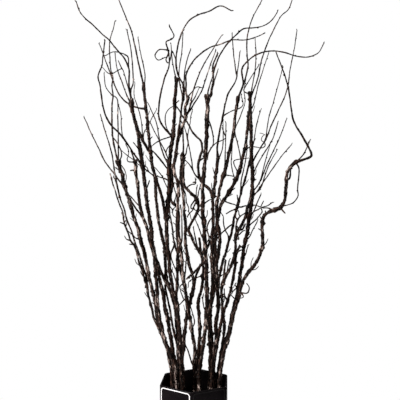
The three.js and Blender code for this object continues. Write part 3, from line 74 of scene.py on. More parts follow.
# girth: radius at the thick end and at the tip
# depth: how far behind the vase's centre the stem lies at each of DEPTH_LEVELS
# twigs: (how much further back the tip lies than the start, girth, route)
STEMS = [
    dict(name="stem_01", girth=(3.3, 1), depth=(-8, -9, -40),
        route=[(-47, 277), (-50, 295), (-54, 315), (-61, 337), (-69, 357), (-77, 373), (-82.4, 387),
        (-85.8, 403), (-89, 417), (-92, 429), (-95, 443), (-98.6, 457), (-103, 472), (-108, 487),
        (-111.6, 499), (-115, 511), (-118, 521), (-122.4, 530), (-127, 537), (-130.4, 546), (-135, 559),
        (-139, 569), (-141.6, 581), (-143.6, 593), (-147.6, 605), (-152, 617), (-157, 632), (-161.4, 645),
        (-165.4, 659), (-169, 673)],
        twigs=[
        (40, (2, 1), [(-90, 445), (-96, 463), (-101, 478), (-106.6, 498), (-113, 517), (-119, 533),
        (-123, 548), (-129, 565), (-135, 578), (-138, 589), (-142, 606), (-148, 620), (-153, 638),
        (-157.4, 655), (-162.2, 666)]),
        (-80, (1.3, 0.8), [(-149, 623), (-154, 647), (-159.6, 675), (-165, 709), (-170, 729), (-177, 751),
        (-183, 771), (-188, 789)])]),
    dict(name="stem_02", girth=(3, 3.4), depth=(19, 40, 59),
        route=[(-41, 277), (-45, 297), (-51, 315), (-57.6, 331), (-63.4, 347), (-68.4, 363), (-73.4, 381),
        (-76.2, 397), (-78, 413), (-81, 427), (-84.6, 441), (-88, 455), (-91.6, 469), (-94.4, 485),
        (-97.4, 501), (-101, 517), (-105.4, 530), (-109, 545), (-111.6, 557), (-116, 570), (-120, 581),
        (-124, 595), (-127.4, 607), (-131, 619), (-135, 631), (-139, 644), (-142.2, 657), (-145, 671),
        (-149.6, 683), (-153.2, 699)],
        twigs=[
        (50, (1.6, 0.8), [(-152, 695), (-159, 719), (-163.6, 749), (-165, 779), (-165, 803), (-163, 829),
        (-165, 847), (-163, 863), (-167, 879), (-169, 899), (-169, 939), (-163, 959), (-159, 977)]),
        (-40, (1.3, 0.7), [(-152, 695), (-152.4, 739), (-153.4, 783), (-155, 821), (-167, 831),
        (-177, 845), (-181, 873)]),
        (10, (1.3, 0.9), [(-151, 693), (-146, 707), (-147.6, 719), (-153.4, 731), (-161, 742),
        (-166, 748)]),
        (60, (1.5, 0.8), [(-139.6, 647), (-149, 656), (-160, 671), (-173, 687), (-183, 703), (-191, 721),
        (-203, 745), (-212, 765), (-221, 785)]),
        (-20, (0.9, 0.7), [(-150, 695), (-144, 685), (-139, 677), (-136.4, 665), (-139, 651)]),
        (-24, (1.2, 0.8), [(-107.8, 539), (-117, 543), (-124, 550), (-131.6, 556)])]),
    dict(name="stem_03", girth=(3.2, 2.6), depth=(-11, -42, -100),
        route=[(-37, 277), (-40.6, 295), (-47, 311), (-53, 324), (-58.4, 337), (-62.4, 351), (-65.4, 365),
        (-69, 379), (-71.8, 395), (-73.8, 411), (-74.6, 429), (-75.4, 445), (-76.6, 461), (-78.2, 479),
        (-79.8, 495), (-81.6, 509), (-84.6, 521), (-87.6, 532), (-90.2, 543), (-93.4, 557), (-97.6, 570),
        (-101.8, 582), (-105, 593), (-107.8, 603), (-110.2, 615), (-111.4, 629), (-113, 641),
        (-114.8, 655), (-116.4, 671), (-117.8, 685), (-120, 699)],
        twigs=[
        (20, (1.2, 0.8), [(-108.6, 607), (-114, 610.6), (-119, 616), (-125, 623), (-131, 629),
        (-136, 636)]),
        (-12, (1.2, 0.8), [(-120, 697), (-123, 707), (-128, 719)]),
        (8, (1.4, 1.1), [(-117, 676), (-122, 678.4), (-128, 678)]),
        (-20, (0.9, 0.7), [(-120, 695), (-127, 695), (-133, 696), (-135, 701), (-133, 706), (-131.4, 715),
        (-134, 724), (-138, 731)])]),
    dict(name="stem_04", girth=(3.4, 3.2), depth=(11, 15, 9),
        route=[(-35, 277), (-39, 291), (-41.6, 305), (-43.6, 319), (-45.4, 333), (-47.4, 345),
        (-50.2, 357), (-51.8, 369), (-53.6, 381), (-57, 395), (-59.2, 407), (-60.4, 417), (-62.2, 429),
        (-64.6, 439), (-67, 449), (-69, 459), (-71, 469), (-73.4, 481), (-75.4, 491), (-77.8, 503),
        (-80.2, 515), (-82.6, 526), (-84.6, 537), (-85.6, 551), (-87, 565), (-89, 577), (-90.8, 589),
        (-92.4, 599), (-94.4, 609), (-95.8, 619), (-96.8, 629), (-98, 643), (-99.4, 655), (-101.4, 669),
        (-103.8, 683), (-105.2, 697), (-107.2, 711), (-109.4, 726), (-111, 739), (-112.4, 751),
        (-114.6, 761), (-117.6, 773), (-121, 785), (-124.2, 799), (-125.8, 811), (-126.2, 821)],
        twigs=[
        (-60, (1.5, 0.8), [(-128, 817), (-131, 849), (-131, 881), (-141, 903), (-153, 917), (-171, 939),
        (-183, 949), (-203, 969), (-217, 981), (-229, 995), (-237, 1017)]),
        (-32, (1, 0.7), [(-131, 885), (-133, 905), (-147, 913), (-163, 915), (-179, 907)]),
        (40, (1.3, 0.8), [(-125, 815), (-127, 839), (-123, 851), (-123, 875), (-127, 919), (-135, 959)]),
        (20, (1.2, 0.7), [(-127, 809), (-133, 823), (-145, 855), (-155, 883), (-159, 915)]),
        (-20, (1, 0.7), [(-127, 819), (-137, 859), (-145, 881), (-151, 879), (-169, 871), (-185, 885)]),
        (-8, (0.8, 0.7), [(-145, 881), (-153, 899)]),
        (-90, (1.6, 0.9), [(-104.4, 687), (-113, 700), (-123, 714), (-136, 734), (-150, 752), (-162, 764),
        (-171, 775), (-179, 791), (-185, 819), (-189, 849), (-193, 867), (-185, 887), (-183, 907),
        (-179, 939)]),
        (-16, (1, 0.7), [(-144, 744), (-146.4, 769), (-147, 789), (-153, 813)]),
        (-20, (1, 0.8), [(-109, 717), (-114, 724), (-123, 735)]),
        (12, (1.2, 0.9), [(-97.6, 639), (-93.6, 647), (-89.6, 659)]),
        (30, (1, 0.7), [(-104, 686), (-97, 686), (-91, 676), (-87, 671)])]),
    dict(name="stem_05", girth=(3.2, 2.8), depth=(24, 75, 125),
        route=[(-29.4, 277), (-31, 291), (-32.4, 305), (-33, 319), (-33.4, 331), (-33.4, 343),
        (-34.2, 355), (-35.2, 367), (-36, 379), (-36.8, 391), (-38.6, 403), (-41.4, 415), (-44.8, 427),
        (-48.4, 437), (-52.4, 446), (-55.4, 455), (-57.2, 465), (-58, 477), (-58, 491), (-58.4, 505),
        (-59.4, 519), (-61.2, 531), (-63.8, 542), (-66.4, 553), (-68.6, 564), (-71, 575), (-73, 586),
        (-74.6, 598), (-75.6, 611), (-76.8, 623), (-77.4, 635), (-78, 647), (-78.4, 659), (-80.2, 671),
        (-82.8, 683), (-85.2, 693), (-87.2, 705), (-88.4, 717), (-89.4, 729), (-90.6, 741), (-91.8, 753),
        (-93, 765), (-94.2, 779), (-96, 795), (-97.8, 811), (-99.4, 825), (-101, 839), (-101.8, 849)],
        twigs=[
        (-20, (2.2, 2), [(-87.4, 713), (-93, 720), (-98, 729), (-102.6, 737), (-106.4, 746),
        (-111, 757)]),
        (28, (1.1, 0.7), [(-103.8, 740), (-105, 765), (-108, 785), (-115, 809), (-121, 829),
        (-119, 855)]),
        (-28, (1.1, 0.7), [(-102.6, 737), (-101, 753), (-93, 767), (-83, 787), (-75, 801)]),
        (60, (1.6, 0.8), [(-97, 802), (-113, 803), (-131, 811), (-147, 825), (-159, 847), (-167, 869),
        (-177, 895), (-183, 913), (-191, 933)]),
        (-30, (1.6, 0.8), [(-102, 847), (-111, 889), (-119, 927), (-127, 959), (-139, 989), (-151, 1019),
        (-159, 1043)]),
        (-32, (1.2, 0.7), [(-100, 839), (-99, 869), (-107, 909), (-113, 943)]),
        (-20, (1.2, 0.7), [(-78.6, 665), (-86, 671), (-94, 677), (-105, 686), (-115, 692), (-122, 699),
        (-133, 707), (-147, 719)]),
        (-30, (2.4, 1.3), [(-54, 449), (-59, 458), (-63.4, 468), (-67.4, 479), (-71, 489), (-75, 498),
        (-79, 507), (-82.4, 518), (-86.4, 530), (-90.4, 543), (-93.8, 556), (-97.6, 568), (-102.6, 581.4),
        (-108.4, 591), (-114, 597.6), (-119, 605), (-124, 613), (-129, 622)]),
        (16, (1.1, 0.8), [(-87.4, 719), (-82, 715), (-73, 706), (-65, 697), (-56, 684)]),
        (-12, (2.1, 1.7), [(-33.8, 333), (-39, 346), (-42.6, 363), (-46.4, 383), (-49.8, 403),
        (-53.8, 421), (-57.4, 439), (-59.2, 449)])]),
    dict(name="stem_06", girth=(3.3, 2.7), depth=(-22, -57, -122),
        route=[(-26, 277), (-27.8, 291), (-28.2, 305), (-29.8, 319), (-29.4, 331), (-28.2, 343),
        (-29.2, 355), (-31.2, 366), (-32.4, 379), (-32.8, 393), (-33.8, 405), (-36.2, 416), (-39.4, 425),
        (-42.6, 435), (-44.4, 446), (-46, 457), (-47.8, 468), (-49.6, 479), (-50.6, 493), (-51.6, 507),
        (-53, 521), (-54.4, 535), (-55.4, 551), (-56, 567), (-55.4, 583), (-54.6, 597), (-53.2, 611),
        (-52, 625), (-50.6, 639), (-50, 653), (-50.2, 667), (-50.4, 679), (-50.2, 691), (-49.4, 703),
        (-48.6, 713), (-47, 723), (-45, 732), (-43.2, 741), (-42, 753), (-41.2, 765), (-40.8, 777),
        (-39.8, 791), (-39.4, 805), (-39.2, 817), (-38.2, 829), (-37.2, 843), (-36.4, 855), (-35.8, 865)],
        twigs=[
        (-24, (2.4, 2), [(-56.2, 583), (-58.6, 593), (-60.6, 603), (-62.6, 613), (-64.6, 623), (-67, 632),
        (-70, 640), (-72.6, 648), (-75, 656), (-77.4, 664)]),
        (-60, (1.4, 0.8), [(-46, 745), (-59, 761), (-71, 783), (-69, 823), (-61, 859), (-51, 887),
        (-51, 907), (-53, 919), (-57, 935), (-45, 941), (-41, 947), (-45, 957), (-51, 967)]),
        (28, (0.9, 0.7), [(-53, 919), (-71, 919), (-79, 907), (-73, 899), (-57, 905)]),
        (20, (0.9, 0.7), [(-51, 911), (-57, 899), (-53, 893), (-49, 897), (-45, 917), (-37, 899)]),
        (20, (1, 0.7), [(-37, 859), (-41, 879), (-45, 903), (-47, 931)]),
        (24, (1, 0.7), [(-48, 747), (-55, 761), (-58.4, 777), (-57.4, 790), (-51, 801), (-42, 807)]),
        (24, (1.2, 0.7), [(-52, 687), (-59, 703), (-65, 719), (-69, 732), (-71.6, 749), (-76, 773),
        (-84, 793), (-94, 815)]),
        (-28, (1.1, 0.7), [(-43, 747), (-53, 744), (-67, 739), (-78, 733), (-87, 725)]),
        (-20, (1, 0.7), [(-51, 677), (-67, 697), (-85, 719)]),
        (-36, (1, 0.7), [(-50, 693), (-58, 715), (-65, 728), (-72, 741), (-80, 756), (-89, 775)]),
        (20, (1, 0.7), [(-52.4, 613), (-48.6, 605.4), (-43.8, 599), (-44, 593), (-42, 587.6),
        (-38.4, 584)]),
        (12, (0.9, 0.7), [(-43.8, 599.4), (-41, 602.4), (-37.6, 605.8)]),
        (14, (1.2, 0.8), [(-53.4, 657), (-59, 661.6), (-68, 664.4), (-78, 668)]),
        (-14, (1, 0.7), [(-53, 637), (-58, 651), (-64, 665), (-73, 677), (-80, 685)]),
        (-12, (1, 0.7), [(-46, 731), (-52, 725), (-56.4, 717), (-57, 708)])]),
    dict(name="stem_07", girth=(3.2, 2.4), depth=(0, -20, -50),
        route=[(0, 277), (-1, 291), (-0.4, 305), (1, 319), (-0.6, 333), (-3, 346), (-5.4, 359),
        (-7.6, 371), (-9.4, 383), (-11, 395), (-12.6, 406), (-14.6, 417), (-16.4, 428), (-18.2, 439),
        (-20.4, 451), (-22.2, 463), (-23.6, 476), (-24.6, 489), (-25.8, 503), (-27.2, 517), (-29, 530),
        (-30.8, 543), (-32, 557), (-32.2, 573), (-32, 589), (-32.8, 603), (-33.4, 617), (-33, 629),
        (-32.2, 641), (-32.6, 651), (-34.6, 659), (-37.4, 665), (-39.8, 673), (-40.8, 685), (-39.4, 698),
        (-37, 713), (-34.8, 727), (-32.2, 740), (-29, 751), (-25.8, 761), (-23.2, 770), (-19.8, 776.4),
        (-17.4, 782.4), (-18.4, 791), (-18.8, 800), (-17, 809), (-14.2, 817), (-13, 827)],
        twigs=[
        (-24, (1.8, 1.6), [(-36.6, 713), (-35.2, 727), (-34.6, 737), (-33.4, 747), (-32, 757),
        (-30.4, 767), (-28.6, 777), (-27.2, 787), (-26.4, 797), (-25.2, 807), (-23.6, 816),
        (-21.8, 823)]),
        (-80, (1.4, 0.8), [(-21.8, 819), (-23, 849), (-33, 869), (-37, 893), (-33, 929), (-23, 959),
        (-9, 979), (7, 989), (31, 997), (51, 1007), (75, 997)]),
        (16, (1.1, 0.7), [(-23, 821), (-31, 867), (-25, 919), (-23, 955)]),
        (20, (1.2, 0.7), [(-20, 823), (-20, 835), (-21, 851), (-19, 879), (-13, 905), (-7, 921)]),
        (60, (1.4, 0.8), [(-15, 823), (-17, 833), (-17, 849), (-17, 869), (-9, 887), (7, 907), (29, 923),
        (53, 931), (75, 939), (103, 939), (123, 945), (141, 953)]),
        (80, (1.3, 0.7), [(-16, 787), (-12, 797), (-8.4, 809), (-6, 823), (-2, 839), (5, 859), (11, 875),
        (25, 901), (41, 927), (55, 949)]),
        (28, (1.3, 0.7), [(-15, 789), (-7, 801), (0, 813), (8, 825), (15, 839), (22, 859), (31, 887),
        (43, 919)]),
        (20, (1.1, 0.7), [(-8, 810), (-1, 821), (4, 831), (9, 843)]),
        (12, (1, 0.7), [(-11, 825), (-5, 835), (5, 845), (17, 843)]),
        (-8, (1.3, 1.1), [(-2, 285), (-6, 295), (-10, 309), (-14, 320), (-18.4, 329), (-19.8, 337)]),
        (-12, (1.1, 0.8), [(-6, 363), (-2, 368), (0.2, 375), (-1.4, 385), (-5.4, 397), (-8.6, 409)]),
        (-10, (1.3, 1), [(-29, 529), (-25.6, 539), (-25, 559), (-25.4, 579), (-26.4, 595),
        (-28.4, 609)])]),
    dict(name="stem_08", girth=(2.9, 2.7), depth=(1, 50, 90),
        route=[(-23, 277), (-25.4, 291), (-25.4, 303), (-23, 315), (-21.4, 327), (-21.8, 339),
        (-20.4, 351), (-18.8, 363), (-17.8, 375), (-15.6, 387), (-13.6, 397), (-11.2, 407), (-8.4, 416),
        (-5.8, 427), (-3.2, 439), (-1.8, 450), (-2.4, 460), (-4, 469), (-6.2, 477), (-9.4, 485),
        (-12.2, 495), (-14, 506), (-15.4, 517), (-17.4, 527), (-18.4, 539), (-18.4, 551), (-18, 563),
        (-18.2, 575), (-19.4, 585), (-20.8, 597), (-21.2, 611), (-22, 625), (-23, 637), (-25.2, 647),
        (-27, 657), (-27.2, 669), (-26.8, 681), (-25.8, 693), (-24.4, 703), (-23.4, 713)],
        twigs=[
        (28, (1.2, 0.8), [(-20.4, 701), (-17.4, 711), (-15.4, 721), (-13, 732), (-14.8, 743),
        (-16.6, 753), (-19, 761), (-21, 769)]),
        (28, (2.3, 2), [(-5, 429), (-1.8, 441), (0.2, 452), (2.2, 462), (5, 472), (8.6, 481),
        (11.8, 489)]),
        (-10, (1.5, 1.1), [(-23, 707), (-22.2, 721), (-22.2, 735), (-22.8, 749), (-23.2, 759),
        (-21.6, 769)]),
        (16, (1.1, 0.8), [(-21, 642), (-18.6, 634), (-17, 624), (-16.4, 614.4), (-13.8, 609),
        (-11.4, 601), (-11.8, 595.8), (-9.4, 591.8), (-7.8, 585), (-6.6, 580)]),
        (-10, (1.2, 0.9), [(-14, 506), (-17, 496), (-17.8, 485), (-18.2, 473), (-19.8, 461)])]),
    dict(name="stem_09", girth=(3.2, 2.3), depth=(14, 30, 40),
        route=[(5, 277), (5.4, 291), (6.6, 305), (8.2, 319), (9.6, 333), (10.2, 347), (10.2, 361),
        (9.8, 375), (8.8, 389), (7.8, 401), (7.6, 413), (9.2, 425), (12, 436), (14.8, 447), (16.6, 460),
        (17.4, 474), (17, 487), (15.6, 499), (13, 509), (9, 517), (4.6, 524), (0.6, 531), (-3, 538),
        (-6.4, 545.4), (-9.8, 552.4), (-12, 559), (-10.2, 565.4), (-7, 571), (-3.8, 577.4), (-0.2, 584),
        (3.4, 590), (6.4, 596.4), (7.8, 604), (7.4, 611.4), (5.4, 617.4), (2.4, 622.4), (-1.8, 627.4),
        (-6.6, 632.6), (-11.6, 637.4), (-16.4, 642), (-20, 648.4), (-21.8, 657), (-22.6, 669),
        (-22.6, 681), (-21.4, 693), (-19.8, 705)],
        twigs=[
        (16, (1.3, 0.9), [(6, 522), (3.6, 533), (1.4, 544), (-0.6, 555), (-2.6, 566)]),
        (-12, (1.9, 1.9), [(12.6, 515), (11.4, 526), (10.6, 535), (9.6, 543)]),
        (-20, (1.1, 0.8), [(4.6, 619.4), (7, 628), (8.4, 636), (10.4, 643), (12.6, 650)]),
        (8, (1, 0.8), [(3, 621.4), (3.6, 633), (4.6, 642), (5.6, 648.4)]),
        (-12, (1.1, 0.8), [(-15.4, 641.4), (-13, 645.8), (-9, 648.4), (-4, 650.2), (1, 650.6), (2.6, 654),
        (1.8, 658.4), (1.8, 663.4)]),
        (6, (1.1, 0.9), [(2.6, 653.8), (-1, 654.4), (-4.4, 653.6)]),
        (18, (1.3, 0.9), [(3, 620.6), (-0.4, 617), (-4.2, 612), (-7.2, 606.4), (-6.4, 601.8),
        (-3, 601.8)]),
        (-16, (1.3, 0.9), [(4.6, 617), (1, 610), (-1.8, 604), (-4.2, 597.8), (-8.4, 593.8), (-12.2, 589),
        (-14.6, 585)]),
        (8, (0.9, 0.7), [(-2.6, 602.6), (1, 599), (5, 596.6)]),
        (-14, (1, 0.8), [(7.6, 595), (11.4, 599), (15, 602.4)]),
        (-20, (1.1, 0.8), [(16, 467), (10, 465.8), (3.6, 463.2), (-2, 461.4), (-6.4, 459.4), (-11, 455.4),
        (-12.4, 450.4), (-12, 445)])]),
    dict(name="stem_10", girth=(3.5, 3), depth=(-12, -75, -150),
        route=[(10, 277), (11.2, 291), (13.4, 305), (15.4, 319), (17.6, 332), (19.6, 345), (21.4, 359),
        (22.6, 373), (23.8, 387), (24.8, 401), (25.2, 415), (25, 429), (24.6, 443), (24, 457), (24, 471),
        (23.8, 483), (23, 495), (22.2, 507), (21.6, 519), (21, 531), (20.4, 543), (19.8, 557), (19, 569),
        (17.8, 581), (17.2, 595), (16.8, 609), (16.6, 623), (16.4, 637), (16.8, 649), (18, 661),
        (19.4, 675), (20.6, 689), (21.4, 703), (22.4, 717), (23.2, 731), (24, 745), (24.6, 759),
        (24.8, 775), (25.4, 791), (26, 807), (26.2, 819), (26.4, 829)],
        twigs=[
        (-60, (1.8, 1), [(28, 825), (32, 828), (34.4, 839), (38, 855), (37, 887), (47, 913)]),
        (12, (1.2, 0.7), [(26, 823), (27, 835), (35, 863)]),
        (-20, (1.2, 0.7), [(37, 875), (51, 909), (67, 933), (83, 949), (97, 961), (117, 963), (137, 967),
        (155, 979), (167, 997)]),
        (16, (1, 0.7), [(37, 851), (47, 879)]),
        (12, (1.1, 0.7), [(26, 783), (30, 775), (34, 761), (37, 747), (37.4, 731), (33.6, 723), (28, 713),
        (26, 701)]),
        (12, (1.1, 0.8), [(17, 610), (23, 614.4), (30, 619), (35, 621)]),
        (-16, (1.1, 0.8), [(20, 538), (14.6, 546), (11.6, 555), (8.6, 563), (5.4, 571), (2, 579),
        (0.4, 582.4)]),
        (16, (1.6, 1), [(23, 519), (27.8, 528), (29.4, 540), (27.6, 550), (25.6, 557), (25.4, 564),
        (27.6, 572.4), (31, 579), (34.4, 583)]),
        (-12, (1.1, 0.9), [(23, 395), (19.6, 402.4), (17.6, 411), (16.6, 422), (18, 432)]),
        (-14, (1, 0.7), [(18, 574), (14, 581), (10, 587.6), (6.6, 592.4)]),
        (20, (2, 1.5), [(21, 499), (15.6, 492.4), (10.6, 486), (4.4, 479.4), (-2.4, 473), (-9.4, 466.4),
        (-16.4, 460.4)])]),
    dict(name="stem_11", girth=(3.1, 2.6), depth=(8, -5, -20),
        route=[(31, 277), (31.4, 291), (31.6, 305), (31.2, 319), (30.6, 333), (30.2, 347), (29.6, 361),
        (29, 375), (29.2, 389), (30.6, 401), (32.6, 413), (34.4, 425), (35.2, 437), (35.8, 449),
        (36, 461), (35.8, 475), (35.4, 489), (34.8, 503), (34.6, 515), (35, 527), (35.4, 539),
        (35.8, 551), (36.6, 563), (37.4, 573), (37.4, 585), (36.8, 597), (36.6, 609), (37, 619),
        (38.2, 629), (38.8, 639), (39.8, 649), (41.4, 659), (43, 669), (44.6, 680), (45.8, 691),
        (47, 703)],
        twigs=[
        (60, (1.7, 0.8), [(47.6, 701), (45.6, 723), (50, 755), (57, 789), (65, 825), (69, 835), (79, 851),
        (85, 867), (83, 875), (79, 903), (77, 925), (75, 953)]),
        (16, (1, 0.7), [(83, 871), (87, 883), (91, 917)]),
        (90, (2.4, 1.3), [(37.6, 626), (33.6, 635), (28, 641.6), (22, 647.4), (17.4, 651.4),
        (13.4, 656.4), (10.2, 665), (8.2, 675), (7.8, 686), (9, 698), (12.2, 709), (15.4, 719), (15, 729),
        (11.6, 738.4), (4, 746), (-2.6, 753), (-8, 762), (-12.6, 771), (-17, 779), (-23, 785), (-30, 797),
        (-36, 806)]),
        (-14, (1.3, 0.8), [(11, 661), (4.6, 666), (-0.6, 673), (-4, 680.4), (-9, 688.4), (-14.4, 694.4),
        (-19, 699)]),
        (28, (1, 0.7), [(-3.4, 681), (-5, 693), (-7, 705), (-9, 717), (-11, 727), (-12.6, 736),
        (-13.6, 745), (-12, 757), (-9, 771), (-7, 787), (-3.8, 799)]),
        (-20, (1.2, 0.8), [(10, 697), (16, 701.6), (23, 707), (28, 714), (35, 725), (45, 734),
        (55, 738.4), (62, 743), (59, 754), (55, 763)]),
        (-16, (1.1, 0.7), [(57, 787), (65, 792), (77, 798), (91, 803), (97, 809), (93, 829)]),
        (20, (1.1, 0.7), [(47.6, 695), (56, 723), (57, 779)]),
        (-28, (1.5, 1), [(36, 525), (42, 536), (48.4, 547), (55, 553.6), (61.6, 559.4), (69, 566),
        (76, 571)]),
        (8, (1, 0.7), [(38, 633), (35, 643), (33.8, 654)])]),
    dict(name="stem_12", girth=(3, 2.6), depth=(-8, -45, -90),
        route=[(35, 277), (35.6, 291), (37.2, 303), (39.6, 315), (41.4, 327), (42.6, 339), (42.8, 351),
        (42.6, 363), (43.2, 375), (44.8, 387), (46.8, 399), (48, 411), (47, 423), (45.8, 435), (45, 447),
        (44.4, 459), (44, 471), (44.2, 485), (45.2, 497), (47.2, 509), (49.2, 521), (50.6, 533),
        (50.4, 544), (49.2, 555), (47.2, 566), (45.4, 577), (44.2, 589), (43.6, 601), (44.2, 611),
        (45.8, 619), (47.8, 627), (49.6, 637), (51.8, 646), (54, 655), (57.4, 666), (61.2, 679),
        (65, 693), (68.6, 708), (72, 725), (75.4, 742), (78.4, 759), (80.8, 777), (82.6, 795), (85, 811),
        (87.4, 827)],
        twigs=[
        (-24, (1.1, 0.7), [(59.4, 673), (61, 699), (62.4, 739), (63, 775)]),
        (-16, (1.1, 0.9), [(60, 669), (67, 668.4), (75, 667), (81, 665.6)]),
        (-80, (1.4, 0.7), [(87.4, 821), (97, 851), (95, 881), (109, 899), (127, 911), (151, 917),
        (175, 915), (203, 907), (227, 905), (247, 913), (259, 933)]),
        (30, (1.3, 0.7), [(87.6, 821), (97, 847), (107, 887), (105, 911), (105, 939), (113, 975),
        (123, 997), (135, 1019), (141, 1039)])]),
    dict(name="stem_13", girth=(3.3, 2.9), depth=(24, 75, 120),
        route=[(33.4, 277), (34, 291), (34.4, 305), (34.8, 319), (34.8, 333), (34.2, 345), (33.2, 357),
        (32, 369), (31.4, 381), (31.4, 393), (32.6, 405), (34.8, 417), (37, 428), (38.6, 439),
        (39.4, 451), (40, 463), (40.2, 477), (40.6, 491), (41, 505), (41.2, 519), (41.4, 533),
        (41.8, 546), (42.8, 558), (44.4, 569), (46.2, 579), (48, 589), (49.8, 598.4), (52, 607),
        (55.6, 614.4), (60.2, 621.4), (65, 628.4), (70, 636), (74.6, 644), (79, 652), (83, 660.4),
        (87, 671), (91, 683), (94.8, 697), (98.2, 711), (101, 725), (103.6, 741), (105.6, 759),
        (107.4, 777), (109.4, 795)],
        twigs=[
        (16, (1.2, 0.9), [(58, 618), (64, 615), (72, 612), (83, 609)]),
        (24, (1.1, 0.7), [(82, 658), (77, 673), (73.6, 693), (75, 719), (77, 759)]),
        (-28, (1.3, 0.7), [(109, 795), (113, 831), (121, 879), (123, 909), (121, 943)]),
        (-30, (1.4, 0.8), [(109, 795), (114, 827), (127, 863), (133, 895), (147, 935), (165, 973),
        (175, 989), (187, 999), (195, 1019), (201, 1039)]),
        (24, (1.2, 0.7), [(109, 795), (117, 807), (127, 847), (139, 885), (149, 915)]),
        (-14, (1, 0.7), [(87, 673), (79, 691), (79, 697), (93, 701), (111, 703)]),
        (16, (1.1, 0.7), [(99, 717), (111, 725), (123, 725), (135, 723), (141, 727), (140, 734),
        (134, 738), (135, 745), (139, 750), (132, 753)]),
        (20, (1.2, 0.7), [(84, 660), (93, 679), (92, 703), (86, 733), (81, 757), (91, 785), (101, 815),
        (99, 839), (103, 861)]),
        (10, (1.2, 0.9), [(69, 634), (75, 638.4), (81.6, 643.4)])]),
    dict(name="stem_14", girth=(3.1, 2), depth=(32, 110, 160),
        route=[(37.4, 277), (37.6, 291), (39.4, 303), (41.8, 315), (43.4, 327), (44.4, 339), (44.2, 351),
        (44, 363), (44.6, 375), (46.2, 387), (48, 399), (49, 411), (48.2, 423), (47, 435), (47.2, 445),
        (48.4, 455), (50, 465), (51.8, 476), (54, 486), (56.6, 496), (59.6, 505), (62.6, 514),
        (64.8, 523), (66.6, 532), (69.2, 539.6), (72.2, 546.6), (74.4, 555), (76.2, 564), (77.8, 574),
        (79.2, 584), (81.4, 592.4), (84.2, 600), (86.8, 608.4), (88.8, 617), (90.8, 625), (92.8, 633),
        (95, 641), (97.4, 649), (99.8, 657), (103, 668), (106.6, 680), (109.6, 692), (112, 703)],
        twigs=[
        (-16, (1.2, 0.9), [(70, 542), (66.4, 550), (62, 558), (59, 567), (57.8, 577), (57.4, 586),
        (54, 592), (51.4, 596)]),
        (-20, (1.3, 1), [(84.6, 601.4), (78, 599), (70, 595.6), (63.6, 591.6)]),
        (-24, (1.3, 0.9), [(87, 604), (94, 605), (100, 607), (109, 607.4), (123, 608.4), (131, 605)]),
        (-16, (1.2, 0.9), [(88.4, 615), (86.4, 622), (85, 630)]),
        (-14, (1.2, 0.9), [(92.8, 633), (93, 653), (97, 675), (101.4, 695), (104.8, 717), (106, 727)])]),
    dict(name="stem_15", girth=(3.3, 3.1), depth=(30, 55, 70),
        route=[(49, 277), (50.6, 291), (53, 305), (56.2, 318), (60.2, 330), (64.2, 341), (67.4, 352),
        (70, 364), (72.2, 376), (74.6, 388), (77.4, 400), (80.6, 412), (83.6, 424), (86, 436),
        (88.2, 448), (90, 459), (91.6, 471), (93.2, 482), (94.8, 493), (96.4, 505), (98, 516),
        (99.8, 527), (102, 538), (104, 549), (105.6, 560), (107.2, 571), (108.8, 581), (110.6, 592),
        (112.2, 603), (113.4, 613), (114.6, 623), (115.8, 635), (116.4, 647), (116.4, 659), (115.6, 675),
        (114.6, 691), (113.8, 709), (113.6, 729), (113.4, 749), (113, 769), (112, 789), (111, 809),
        (111, 823), (111.4, 834)],
        twigs=[
        (52, (1.4, 0.8), [(114.6, 693), (133, 725), (142, 739), (154, 769), (169, 801), (185, 839),
        (191, 879), (199, 919), (205, 959)]),
        (28, (1.1, 0.7), [(142, 739), (149, 785), (159, 819), (171, 863), (177, 887)]),
        (-48, (1.2, 0.8), [(116, 663), (120, 677), (131, 699), (157, 743), (167, 775)]),
        (60, (1.3, 0.8), [(117.6, 637), (124, 645), (132, 658), (147, 695), (169, 741), (185, 783)]),
        (16, (1.1, 0.7), [(132, 660), (139, 687), (153, 737)]),
        (-28, (1.2, 0.8), [(118, 627), (123, 633), (130, 640), (135, 649), (140, 665), (147, 685),
        (165, 719)]),
        (28, (1.2, 0.8), [(116, 621), (127, 639), (153, 677), (173, 705), (195, 731)]),
        (-20, (1.1, 0.7), [(114, 719), (117, 729), (125, 773), (133, 801)]),
        (-24, (1.2, 0.9), [(110, 584), (116, 592), (121, 603), (126, 615), (133.6, 632)]),
        (32, (1.3, 0.9), [(107, 566), (115, 573), (124, 581), (131, 589), (135, 596), (133, 605),
        (137, 615)]),
        (-40, (1.2, 0.8), [(111, 589), (119, 596), (127, 600), (134, 604), (145, 607), (157, 615)]),
        (20, (1.2, 0.8), [(106, 537), (111, 547), (116, 558), (122, 569), (126.4, 578)]),
        (24, (1.1, 0.8), [(100, 502), (102.4, 511), (105, 521), (108.2, 530.4)]),
        (-16, (1.1, 0.7), [(111, 831), (99, 837), (111, 861), (129, 889)]),
        (16, (1.1, 0.9), [(88, 445), (82, 441), (77, 436), (73.6, 429.6)]),
        (-10, (1.2, 1), [(97, 505), (95, 509.4), (93.6, 510.4)]),
        (14, (1.1, 0.8), [(84, 447), (81, 450), (84, 454)])]),
    dict(name="stem_16", girth=(2.9, 2.4), depth=(2, 10, 43),
        route=[(38.8, 277), (38.8, 289), (40.6, 303), (43.4, 317), (45.6, 331), (47.6, 344), (49.6, 356),
        (51.6, 367), (53.6, 377), (55.6, 387), (56.4, 398), (55.6, 409), (54.6, 420), (53.8, 431),
        (54.2, 442), (56.6, 451), (59.6, 459), (63, 467), (66.6, 474), (69.6, 480.4), (72.6, 487),
        (75.6, 494), (78.2, 501), (80.4, 509), (81.8, 518), (82.2, 529), (82.2, 539), (83, 548),
        (85.4, 555), (89, 561), (93, 567), (97, 574.4), (100.8, 582), (103.4, 591), (105, 600),
